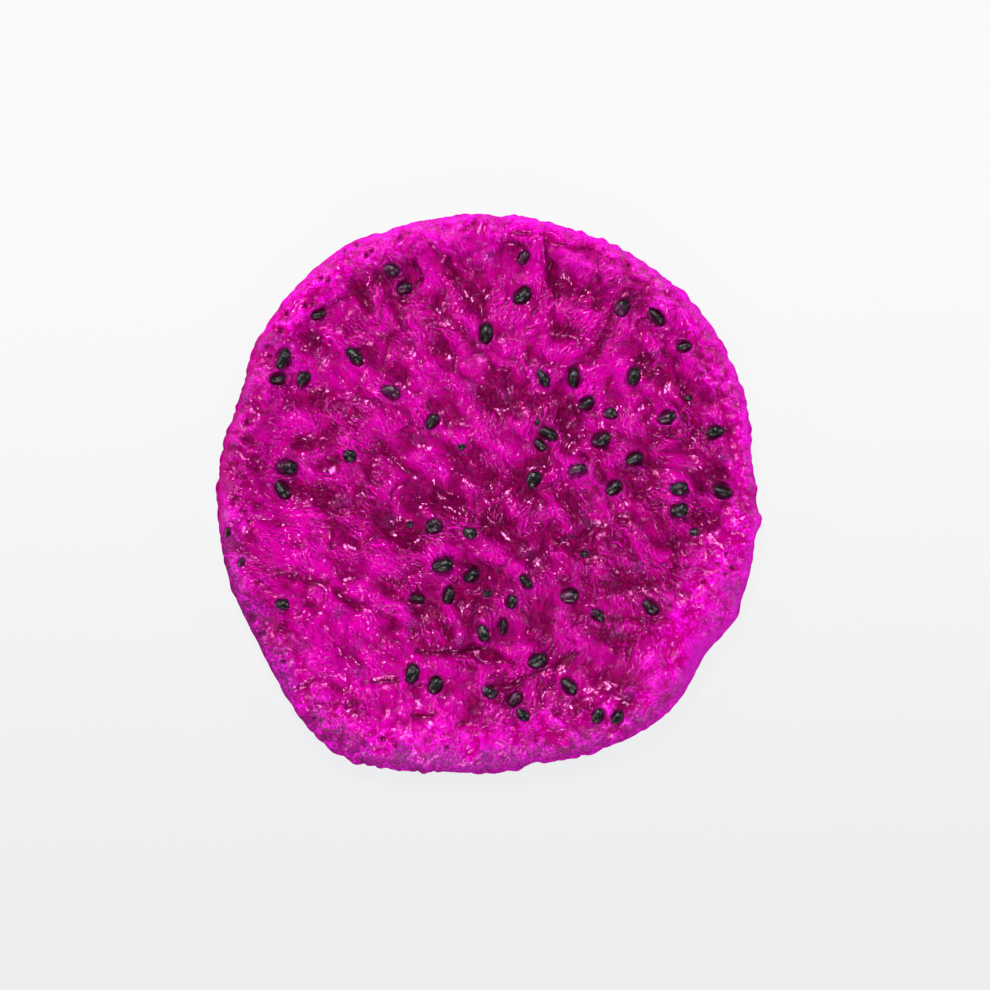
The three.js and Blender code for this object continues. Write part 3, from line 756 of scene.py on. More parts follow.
STAINS_AND_SHADE = tuple(StainAndShade(*row) for row in (
    # the wine-dark band across the middle
    (5.2, 10.2, 4.5, -0.7), (10.3, -5.6, 8, -0.8), (-1.5, -14.0, 6, -0.9), (-5.3, -3.2, 6, -0.5),
    (-12.3, 0.2, 4, -0.8), (1.0, 1.0, 6, -0.6), (0.4, -14.0, 2.5, -0.8), (14.6, 4.6, 2.5, -0.7),
    (-17.6, -2.9, 3, -0.7), (-7.0, -6.1, 2.5, -0.9), (20.4, 0.0, 2.3, -0.6), (12.9, -7.7, 2.5, -0.8),
    # painted shade in the hollows of the upper half
    (-15.2, 20.6, 3, -1.2), (-17.0, 7.8, 3, -1.1), (-2.5, 19.6, 3, -0.8),
    # dark spots along the rim, and painted shade in the hollows
    (26.6, 4.6, 3, -1.2), (-25.7, 15.4, 3, -0.5), (-24.5, 2.2, 3, -0.4), (16.0, 26.8, 3.5, -1.0),
    (-12.0, 25.6, 3, -0.5), (18.7, -14.6, 3, -0.7), (3.6, -24.9, 4, -1.2), (16.2, -27.8, 3.5, -2.1),
    (-31.1, 4.6, 2.5, -0.9), (18.7, 15.0, 1.3, -1.2), (23.2, 9.4, 1.2, -1.0), (20.8, -13.6, 0.9, -1.5),
    (0.8, -26.1, 2.2, -1.2), (20.0, -16.2, 2.5, -0.9), (29.7, -1.7, 2.5, -1.5), (-28.5, 13.0, 3, -1.2),
    (-31.5, 2.2, 3, -1.4), (-31.0, -4.0, 3.5, -0.6),
    # painted shade along the edge at the left and below
    (-29.5, -9.5, 3, -1.2), (-27.2, -16.2, 3.5, -1.8), (-20.8, -26.6, 4, -1.4), (11.0, -29.1, 3, -2.1),
    (24.9, -9.4, 3.0, -1.7),
    # lighter zones
    (-18.4, -19.0, 5, 2.1), (-26.2, -4.4, 4, 1.3), (-24.6, -10.8, 3, 1.2), (-6.5, -28.4, 8, 0.9),
    (-18.5, -9.2, 4, 0.4), (23.5, -16.4, 5, 0.6), (-10.2, 6.0, 4, 0.9), (-7.0, 31.9, 4, 1.2),
    (13.3, 12.2, 2.5, 1.6), (3.6, 18.1, 2.5, 1.0), (-13.6, 16.0, 3, 1.0), (-3.6, -8.4, 2.6, 1.2),
    (6.9, -12.6, 2.5, 0.9), (3.7, 4.6, 2.5, 0.9), (23.8, 2.8, 2.5, 1.2), (13.0, -20.9, 2.5, 0.8),
    (-7.7, -11.5, 2.2, 0.8), (-17.3, 13.3, 2.5, 0.7), (2.0, 31.5, 5, 0.6), (12.0, 30.0, 4, 0.3),
    (-27.4, 5.0, 3, 0.8), (-22.6, 10.8, 3, 0.7), (-4.0, 15.4, 3, 0.7), (22.0, -24.0, 3, 0.8),
    (-14.6, -9.5, 2.5, 1.0), (-4.5, 2.6, 2.5, 0.8), (1.6, -22.3, 2.3, 0.8), (13.4, 1.4, 2, 0.7),
    (-15.9, 25.2, 2.5, 0.9),
))


@dataclass(frozen=True)
class Pore:
    """An open pore of the rim's froth, in mm."""

    x: float
    y: float
    radius: float


PORES = tuple(Pore(*row) for row in (
    # upper left
    (-15.8, 29.5, 0.35), (-17.3, 28.7, 0.35), (-16.6, 28.8, 0.3), (-14.1, 28.8, 0.25),
    (-14.7, 28.2, 0.35), (-18.9, 27.1, 0.25), (-20.2, 25.4, 0.3), (-19.3, 25.2, 0.4), (-22.0, 22.2, 0.35),
    (-21.0, 22.3, 0.35), (-25.0, 19.2, 0.4), (-26.6, 17.2, 0.3), (-26.2, 16.1, 0.3), (-24.2, 21.2, 0.25),
    (-12.9, 30.2, 0.25),
    # top
    (-10.6, 30.4, 0.3), (-9.6, 31.0, 0.25), (-2.6, 31.6, 0.3), (-1.8, 32.0, 0.25), (16.6, 27.0, 0.25),
    # left
    (-29.6, 9.6, 0.35), (-29.0, 8.2, 0.3), (-30.8, 5.2, 0.45), (-29.3, -2.4, 0.35), (-28.7, -3.7, 0.3),
    # right
    (28.3, -7.6, 0.3), (29.0, -9.2, 0.3), (28.1, -9.9, 0.25), (27.2, -8.8, 0.25), (25.6, -10.9, 0.25),
    # below
    (-28.3, -15.2, 0.6), (-27.2, -17.0, 0.5), (-24.6, -20.4, 0.3), (-20.9, -27.2, 0.4),
    (-12.6, -29.6, 0.3), (-11.2, -30.4, 0.3), (-5.0, -30.6, 0.3), (5.6, -29.8, 0.25),
))

# How dusky the edge is: direction in degrees, share. It sets how dark the purple network of the lilac band
# is, partly painted shade, and paints shade along the edge where it is over 1 and light where it is under 1.
DUSK = (
    (0, 0.7), (20, 0.4), (60, 0.25), (90, 0.35), (115, 0.5), (140, 1.0), (158, 1.4), (185, 1.5),
    (200, 1.2), (215, 1.0), (245, 0.9), (275, 0.7), (300, 0.6), (320, 0.15), (345, 0.4), (360, 0.7),
)

# How puffed the rim is: direction in degrees, share.
PUFFED = (
    (0, 0.6), (30, 1.0), (80, 1.0), (105, 0.6), (125, 0.4), (145, 0.6), (158, 1.1), (170, 1.0),
    (185, 0.5), (215, 0.4), (235, 0.9), (280, 0.8), (300, 0.9), (315, 0.3), (345, 0.3), (360, 0.6),
)

GRAIN_HINTS = tuple(GrainHint(*row) for row in (
    (-15, 18, -45), (-24, 8, -30), (-24, -2, -12), (-13, 8, -50), (-10, 22, -65), (3, 18, -90),
    (-4, 8, -60), (11, 16, -150), (20, 18, -130), (5, 3, -110), (13, 5, -50), (21, 3, -20), (24, 11, -80),
    (-18, -9, -35), (-7, -8, -25), (4, -8, -60), (14, -6, -75), (20, -12, -50), (-14, -19, -60),
    (-6, -22, -75), (3, -20, -100), (10, -22, -120), (-5, -29, -90), (6, -29, -95), (-22, -18, -40),
    (18, -22, -135),
))


class Sheet:
    """Values on an even grid over the slice, which are smoothed, combed and read back at any point."""

    STEP = 0.2
    HALF = 37.0
    FINER = 0.35  # grains are left between their own size and this share of it
    SLOW = 2.0  # what changes over more than this is taken out of streaks

    def __init__(self) -> None:
        """Lays out the grid."""
        line = np.arange(-self.HALF, self.HALF + self.STEP / 2, self.STEP)
        self.x, self.y = np.meshgrid(line, line)
        turns = np.fft.fftfreq(len(line), self.STEP) * 2 * math.pi
        self._rate = np.add.outer(turns**2, turns**2)

    def soften(self, values: np.ndarray, reach: float) -> np.ndarray:
        """Values blurred by a bell of a reach in mm."""
        return np.fft.ifft2(np.fft.fft2(values) * np.exp(-self._rate * reach**2 / 2)).real

    def grit(self, seed: int, coarse: float) -> np.ndarray:
        """Random grains with no slow change.

        Args:
            seed: where the random row starts.
            coarse: the grains' size, in mm.

        Returns:
            The grains, at a spread of 1.
        """
        raw = np.random.default_rng(seed).standard_normal(self.x.shape)
        grains = self.soften(raw, coarse * self.FINER) - self.soften(raw, coarse)
        return grains / grains.std()

    def read(self, values: np.ndarray, x: np.ndarray, y: np.ndarray) -> np.ndarray:
        """Values at any points, by straight mixing of the four nearest.

        Args:
            values: the values on the grid.
            x: places along X.
            y: places along Y.

        Returns:
            One value for each point.
        """
        last = values.shape[0] - 1.001  # just inside the grid's last square
        u = np.clip((x + self.HALF) / self.STEP, 0, last)
        v = np.clip((y + self.HALF) / self.STEP, 0, last)
        i, j = u.astype(int), v.astype(int)
        a, b = u - i, v - j
        return ((values[j, i] * (1 - a) + values[j, i + 1] * a) * (1 - b)
                + (values[j + 1, i] * (1 - a) + values[j + 1, i + 1] * a) * b)

    def comb(self, values: np.ndarray, angle: np.ndarray, length: float) -> np.ndarray:
        """Values drawn out into streaks along a direction that changes from place to place.

        Args:
            values: the grains to draw out.
            angle: the direction at each point of the grid, in radians.
            length: how long the streaks are, in mm.

        Returns:
            The streaks, at a spread of 1.
        """
        c, s = np.cos(angle), np.sin(angle)
        total = values.copy()
        for way in (-1, 1):
            x, y = self.x.copy(), self.y.copy()
            for _ in range(int(length / 2 / self.STEP)):
                dx, dy = self.read(c, x, y), self.read(s, x, y)
                x, y = x + way * self.STEP * dx, y + way * self.STEP * dy
                total += self.read(values, x, y)
        total -= self.soften(total, self.SLOW)
        return total / total.std()


@dataclass(frozen=True)
class Streaks:
    """Low ridges that run along the fibres, in mm, or aslant of them, in radians."""

    seed: int
    thickness: float
    length: float
    height: float
    aslant: float = 0.0


@dataclass
class DriedFlesh:
    """Everything that the upper face and the edge have beyond the plain form, worked out on a grid, in mm."""

    form: SliceForm
    # The middle: cushions, and folds, ridges and wrinkles along the fibres.
    warps: tuple[Waves, Waves] = (Waves(19, 10, 9, 3.5, 1.3), Waves(23, 10, 9, 3.5, 1.3))
    cushion_waves: Waves = Waves(29, 18, 7.5, 3.6)
    cushion_height: float = 0.22
    cushion_level: float = 0.7
    cushion_softness: float = 0.03
    streaks: tuple[Streaks, ...] = (
        Streaks(3, 0.9, 5, 0.04), Streaks(6, 1.7, 7, 0.1, 0.3), Streaks(4, 0.45, 3, 0.02),
    )
    # The rim: puffs, lumps and grain.
    puff_waves: Waves = Waves(37, 20, 4.2, 1.9)
    puff_height: float = 0.26
    puff_level: float = 0.5
    puff_softness: float = 0.01
    puff_warp: float = 0.5
    rim_lumps: Waves = Waves(31, 22, 4.5, 1.6, 0.12)
    rim_grain_seed: int = 5
    rim_grain_size: float = 0.7
    rim_grain_height: float = 0.04
    # Round the seeds, with distances in half lengths of the seed.
    marks_seed: int = 71
    seed_half_width: float = 0.72
    collar_height: float = 0.16
    collar_distance: float = 1.35
    collar_half_width: float = 0.3
    collar_share: tuple[float, float] = (0.3, 1)
    socket_depth: float = 0.3
    # painted shade in the socket round each bare seed
    socket_shade: float = 0.55
    tail_height: float = 0.22
    tail_half_width: float = 0.2
    tail_length: tuple[float, float] = (0.2, 0.9)
    tail_share: tuple[float, float] = (0.2, 1)
    tail_fades: tuple[float, float] = (0.3, 0.5)
    lump_height: float = 0.35
    lump_half_length: float = 0.84
    lump_half_width: float = 0.6
    lump_bruise: tuple[float, float] = (0.7, 1)
    pore_depth: float = 0.35
    pore_squareness: float = 1.5
    # How wide and how deep the hollows and the pits are that the colours tell apart: painted shade darkens
    # the hollows and pits, and painted light brightens the swells.
    hollow_size: tuple[float, float] = (1.6, 0.55)
    pit_size: tuple[float, float] = (0.45, 0.16)
    # Where the middle, the skin and the lilac band begin and end, and how the fibres turn.
    middle_begins: float = 0.8
    skin_frays: tuple[Waves, Waves] = (Waves(11, 16, 6, 2.4), Waves(13, 16, 2.2, 1.0, 0.5))
    skin_fades: tuple[float, float] = (-1.3, 2.0)
    lilac_fray: Waves = Waves(61, 14, 9, 2.5, 1.2)
    lilac_fades: tuple[float, float] = (0.6, 3.8)
    brink_fades: tuple[float, float] = (0.3, 1.3)
    usual_direction: float = -60
    usual_weight: float = 0.02
    sway: Waves = Waves(7, 16, 9, 3.2, 28)
    crease_wobble: Waves = Waves(53, 8, 4, 1.5, 0.35)
    crease_squareness: float = 1.3
    sheet: Sheet = field(default_factory=Sheet)

    def __post_init__(self) -> None:
        """Works out the height and the marks of the upper face."""
        x, y = self.sheet.x, self.sheet.y
        inset, lower = self.form.place_of(x, y)
        begins = self.middle_begins * (self.form.crest_inset + self.form.shoulder_inset * lower)
        self.middle = smooth_step(begins, begins + self.form.rim_fall, inset)
        self.skin = self._skin(x, y, inset)
        # the listed zones: the flesh's own tone, and painted shade in hollows and along the edge
        self.stain_and_shade = sum(stain_and_shade.shade * bell(x, y, stain_and_shade, stain_and_shade.reach) for stain_and_shade in STAINS_AND_SHADE)
        self.pores = sum(bell(x, y, pore, pore.radius, self.pore_squareness) for pore in PORES)
        self.brink = 1 - smooth_step(*self.brink_fades, inset)
        # how dusky the edge is, which sets painted light and painted shade along it
        self.dusk = around_edge(DUSK, x, y)
        frayed = inset + self.lilac_fray(x, y)
        self.lilac = self.form.lowness(lower) * (1 - smooth_step(*self.lilac_fades, frayed))
        self.grain = self._grain_angle(x, y)
        self.plain = self._folds() + self._creases() - self.pore_depth * self.pores
        self.raised, self.purple_and_shade = self._seed_marks()
        whole = self.form.relief_at(x, y) + self.plain + self.raised
        # painted shade in the hollows and pits, and painted light on the swells, are set from these
        self.hollow = self._sunk(whole, *self.hollow_size)
        self.pit = self._sunk(whole, *self.pit_size)

    def _skin(self, x: np.ndarray, y: np.ndarray, inset: np.ndarray) -> np.ndarray:
        """How much the flesh is the rim's velvety skin, from 0 to 1.

        Args:
            x: places along X.
            y: places along Y.
            inset: how far in from the edge they are.

        Returns:
            The shares, which fade out along a frayed line.
        """
        widths = around_edge(SKIN_WIDTHS, x, y)
        broad, narrow = self.skin_frays
        frayed = inset + broad(x, y) + narrow(x, y)
        outer, inner = self.skin_fades
        return 1 - smooth_step(widths + outer, widths + inner, frayed)

    def _sunk(self, height: np.ndarray, reach: float, depth: float) -> np.ndarray:
        """How far places lie below those within a reach, from -1 to 1 at a depth."""
        return np.clip((self.sheet.soften(height, reach) - height) / depth, -1, 1)

    def _grain_angle(self, x: np.ndarray, y: np.ndarray) -> np.ndarray:
        """Direction of the fibres, in radians, with no jump anywhere.

        Args:
            x: places along X.
            y: places along Y.

        Returns:
            One direction for each point.
        """
        total = np.full_like(x, self.usual_direction * self.usual_weight)
        weight = np.full_like(x, self.usual_weight)
        for hint in GRAIN_HINTS:
            near = bell(x, y, hint, hint.reach)
            total += near * hint.direction
            weight += near
        return np.radians(total / weight + self.sway(x, y))

    def _folds(self) -> np.ndarray:
        """Puffy cushions and streaks of the middle, and the lumpy grain of the rim.

        Returns:
            Their heights on the grid.
        """
        sheet, x, y = self.sheet, self.sheet.x, self.sheet.y
        warp_x, warp_y = (warp(x, y) for warp in self.warps)
        cushions = soft_size(self.cushion_waves(x + warp_x, y + warp_y), self.cushion_softness)
        cushions = self.cushion_height * (cushions - self.cushion_level)
        streaks = sum(streak.height * sheet.comb(sheet.grit(streak.seed, streak.thickness),
                                                 self.grain + streak.aslant, streak.length)
                      for streak in self.streaks)
        puffs = self.puff_waves(x + self.puff_warp * warp_x, y + self.puff_warp * warp_y)
        puffs = soft_size(puffs, self.puff_softness)
        puffs = (puffs - self.puff_level) * (self.puff_height * around_edge(PUFFED, x, y))
        grain = self.rim_grain_height * sheet.grit(self.rim_grain_seed, self.rim_grain_size)
        rim = puffs + (self.rim_lumps(x, y) + grain)
        return self.middle * (cushions + streaks) + (1 - self.middle) * rim

    def _creases(self) -> np.ndarray:
        """The sharp folds.

        Returns:
            Their heights on the grid, none above 0.
        """
        x, y = self.sheet.x, self.sheet.y
        depth = np.zeros_like(x)
        wobble = self.crease_wobble(x, y)
        for crease in CREASES:
            away = distance_to_path(x + wobble, y, list(crease.path))
            depth -= crease.depth * np.exp(-((away / crease.half_width) ** self.crease_squareness))
        return depth

    def _seed_marks(self) -> tuple[np.ndarray, np.ndarray]:
        """Sockets, collars and tails of the bare seeds, and lumps over the covered ones.

        Returns:
            The heights, and how purple the flesh is there, from 0 to 1: the covered seeds' own purple through
            the flesh, and painted shade in the sockets round the bare seeds.
        """
        x, y = self.sheet.x, self.sheet.y
        height, purple_and_shade = np.zeros_like(x), np.zeros_like(x)
        draws = Draws(self.marks_seed)
        starts, stops = self.tail_fades
        for seed in BARE_SEEDS:
            half = 0.5 * seed.length
            along, across = turned(x, y, seed.x, seed.y, seed.direction)
            away = np.hypot(along / half, across / (self.seed_half_width * half))
            collar = np.exp(-(((away - self.collar_distance) / self.collar_half_width) ** 2))
            height += self.collar_height * collar * draws.between(*self.collar_share)
            height -= self.socket_depth * np.exp(-(away**4))
            tail = draws.between(*self.tail_length)
            behind = -along - half
            ridge = np.exp(-((across / self.tail_half_width) ** 2)) * smooth_step(-starts, 0, behind)
            ridge *= 1 - smooth_step(tail, tail + stops, behind)
            height += self.tail_height * ridge * draws.between(*self.tail_share)
            # painted shade round the bare seed
            socket = self.socket_shade * np.exp(-((away / self.collar_distance) ** 4))
            purple_and_shade = np.maximum(purple_and_shade, socket)
        for seed in COVERED_SEEDS:
            half = 0.5 * seed.length
            along, across = turned(x, y, seed.x, seed.y, seed.direction)
            away = np.hypot(along / (self.lump_half_length * half), across / (self.lump_half_width * half))
            lump = np.exp(-(away**3))
            height += self.lump_height * lump
            purple_and_shade = np.maximum(purple_and_shade, draws.between(*self.lump_bruise) * lump)
        return height, purple_and_shade


class Face(Enum):
    """A face of the slice that seeds lie in, and which way along Z is out of it."""

    UPPER = 1
    UNDER = -1


@dataclass
class Flesh:
    """The slice's flesh: one closed mesh, fine on its upper face and coarser below."""

    form: SliceForm
    dried: DriedFlesh
    finish: "FleshFinish"
    steps: int = 132
    wall_cuts: int = 5
    # The ragged edge.
    rags: Waves = Waves(73, 24, 6.0, 1.8)
    rag_height: float = 0.32
    rag_level: float = 0.45
    edge_grain: Waves = Waves(79, 20, 1.8, 0.8, 0.05)
    edge_fades: tuple[float, float] = (0.1, 1.2)
    # The underside, whose folds keep clear of its feet.
    under_folds: Waves = Waves(61, 18, 6, 2.6, 0.16)
    under_grain: Waves = Waves(67, 16, 2.4, 1.3, 0.05)
    foot_fades: tuple[float, float] = (2.2, 4.5)
    # How near the top of the solid the flesh begins to be held back, and how softly.
    headroom: float = 0.2
    give: float = 0.3
    # How far in the underside's skin fades and its lilac band reaches, and where the wall turns matt, from
    # the height of the edge.
    under_skin_fades: tuple[float, float] = (2, 6)
    under_lilac_width: float = 5
    wall_fades: tuple[float, float] = (-0.9, -0.1)
    name: str = "flesh"

    NEARLY = 1e-5  # how far a point may be off the place it is chosen by, in a box of half side 1

    def build(self) -> bpy.types.Object:
        """Models and dresses the flesh.

        Returns:
            The finished object, at the origin.
        """
        piece = self._starting_box()
        mesh = piece.data
        box = rows_of(mesh.vertices, "co")
        x, y, z = self._plain_places(box)
        set_places(mesh, self.form.box_middle, x, y, z)
        normals = rows_of(mesh.vertex_normals, "vector")
        push = self._push(box, x, y, z)
        x, y, z = (values + push * normals[:, i] for i, values in enumerate((x, y, z)))
        z = self._held_back(z)
        set_places(mesh, self.form.box_middle, x, y, z)
        self._mark(mesh, x, y, z)
        self._dress(piece)
        return piece

    def _starting_box(self) -> bpy.types.Object:
        """A box of half side 1 whose top is twice as fine as its bottom.

        Returns:
            The box, in object mode.
        """
        bpy.ops.object.select_all(action="DESELECT")
        bpy.ops.mesh.primitive_grid_add(x_subdivisions=self.steps, y_subdivisions=self.steps, size=2,
                                        location=(0, 0, 1))
        piece = bpy.context.object
        piece.name = piece.data.name = self.name
        bpy.ops.object.transform_apply(location=True)
        bpy.ops.object.mode_set(mode="EDIT")
        bpy.ops.mesh.select_all(action="SELECT")
        bpy.ops.mesh.extrude_region_move(TRANSFORM_OT_translate={"value": (0, 0, -2)})
        bpy.ops.mesh.select_all(action="SELECT")
        bpy.ops.mesh.normals_make_consistent(inside=False)
        self._select_edges(piece, lambda a, b: np.abs(a[:, 2] - b[:, 2]) > 1)
        bpy.ops.mesh.subdivide(number_cuts=self.wall_cuts)
        self._select_edges(piece, lambda a, b: np.minimum(a[:, 2], b[:, 2]) > 1 - self.NEARLY)
        bpy.ops.mesh.subdivide(number_cuts=1)
        bpy.ops.object.mode_set(mode="OBJECT")
        return piece

    def _select_edges(self, piece: bpy.types.Object,
                      wanted: Callable[[np.ndarray, np.ndarray], np.ndarray]) -> None:
        """Selects edges by the places of their two ends.

        Args:
            piece: the mesh object, in edit mode.
            wanted: says for the ends of each edge whether it is taken.
        """
        bpy.ops.mesh.select_mode(type="EDGE")
        bpy.ops.mesh.select_all(action="DESELECT")
        bpy.ops.object.mode_set(mode="OBJECT")
        mesh = piece.data
        points = rows_of(mesh.vertices, "co")
        ends = np.empty(len(mesh.edges) * 2, int)
        mesh.edges.foreach_get("vertices", ends)
        ends = ends.reshape(-1, 2)
        mesh.edges.foreach_set("select", wanted(points[ends[:, 0]], points[ends[:, 1]]))
        bpy.ops.object.mode_set(mode="EDIT")

    def _plain_places(self, box: np.ndarray) -> tuple[np.ndarray, np.ndarray, np.ndarray]:
        """Places on the plain form for points of the starting box, as the solid has them.

        Args:
            box: the points of the starting box.

        Returns:
            Their places along X and Y, and their heights.
        """
        across = box[:, 0] * np.sqrt(1 - box[:, 1] ** 2 / 2)
        along = box[:, 1] * np.sqrt(1 - box[:, 0] ** 2 / 2)
        direction = np.arctan2(along, across)
        on_wall = np.maximum(np.abs(box[:, 0]), np.abs(box[:, 1])) > 1 - self.NEARLY
        bulge = np.where(on_wall, self.form.wall_inset * np.cos(box[:, 2] * math.pi / 2), 0)
        inner = self.form.edge_radius(np.degrees(direction)) - self.form.wall_inset
        radius = np.hypot(across, along) * inner + bulge
        x, y = radius * np.cos(direction), radius * np.sin(direction)
        z = np.where(box[:, 2] >= -self.NEARLY, self.form.upper_height(x, y), self.form.under_height(x, y))
        return x, y, z

    def _push(self, box: np.ndarray, x: np.ndarray, y: np.ndarray, z: np.ndarray) -> np.ndarray:
        """How far each point stands out of the plain form, square to it.

        Args:
            box: the points of the starting box.
            x: their places on the plain form, along X.
            y: the same along Y.
            z: their heights.

        Returns:
            The distances, in mm.
        """
        inset, _ = self.form.place_of(x, y)
        push = np.where(box[:, 2] >= 0, self._upper_push(x, y), self._under_push(x, y))
        ragged = self.rag_height * (np.abs(self.rags(x, y + z)) - self.rag_level) + self.edge_grain(x, y + z)
        ragged *= around_edge(PUFFED, x, y)
        return ragged + (push - ragged) * smooth_step(*self.edge_fades, inset)

    def _upper_push(self, x: np.ndarray, y: np.ndarray) -> np.ndarray:
        """How far the upper face stands out of the plain form."""
        return self.dried.sheet.read(self.dried.plain + self.dried.raised, x, y)

    def _under_push(self, x: np.ndarray, y: np.ndarray) -> np.ndarray:
        """How far the underside stands out of the plain form, which is nothing at its feet.

        Args:
            x: places along X.
            y: places along Y.

        Returns:
            The distances, in mm.
        """
        push = np.abs(self.under_folds(x, y)) + self.under_grain(x, y)
        for foot in self.form.feet():
            push *= smooth_step(*self.foot_fades, np.hypot(x - foot.x, y - foot.y))
        return push

    def _held_back(self, z: np.ndarray) -> np.ndarray:
        """Heights kept off the surface below and, softly, near the top of the solid.

        Args:
            z: the heights.

        Returns:
            The heights that the flesh has.
        """
        knee = CEILING - self.headroom
        z = np.clip(z, 0, None)
        return np.where(z > knee, knee + self.give * np.tanh((z - knee) / self.give), z)

    def _mark(self, mesh: bpy.types.Mesh, x: np.ndarray, y: np.ndarray, z: np.ndarray) -> None:
        """Gives the mesh the numbers that its finish reads.

        Args:
            mesh: the mesh.
            x: its points' places along X.
            y: the same along Y.
            z: their heights.
        """
        dried, read = self.dried, self.dried.sheet.read
        inset, lower = self.form.place_of(x, y)
        edge = self.form.edge_height - self.form.edge_drop * lower
        # Some of these marks set painted shade and painted light in the finish: hollows, pits, pores, seed
        # sockets, stain zones and the dusky edge.
        above_and_below = {
            "skin": (dried.skin, 1 - smooth_step(*self.under_skin_fades, inset)),
            "lilac": (dried.lilac, self.form.lowness(lower) * (inset < self.under_lilac_width)),
            "hollow": (dried.hollow, 0.1),
            "pit": (dried.pit, 0),
            "purple_and_shade": (dried.purple_and_shade, 0),
            "pores": (dried.pores, 0),
        }
        marks = {name: np.where(z > edge, read(above, x, y), below)
                 for name, (above, below) in above_and_below.items()}
        marks["brink"] = read(dried.brink, x, y) * smooth_step(*self.wall_fades, z - edge)
        marks["dusk"] = read(dried.dusk, x, y)
        marks["stain_and_shade"] = read(dried.stain_and_shade, x, y)
        marks["grain"] = read(dried.grain, x, y)
        for name, values in marks.items():
            attribute = mesh.attributes.new(name, "FLOAT", "POINT")
            attribute.data.foreach_set("value", values.astype(np.float32))

    def _dress(self, piece: bpy.types.Object) -> None:
        """Smooths, colours and places the piece on its body.

        Args:
            piece: the modelled flesh.
        """
        bpy.ops.object.select_all(action="DESELECT")
        piece.select_set(True)
        bpy.context.view_layer.objects.active = piece
        bpy.ops.object.shade_smooth()
        piece.data.materials.append(self.finish.material())
        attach(piece, BODY)
        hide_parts(NODE)
        log.info("%s: %d points", piece.name, len(piece.data.vertices))


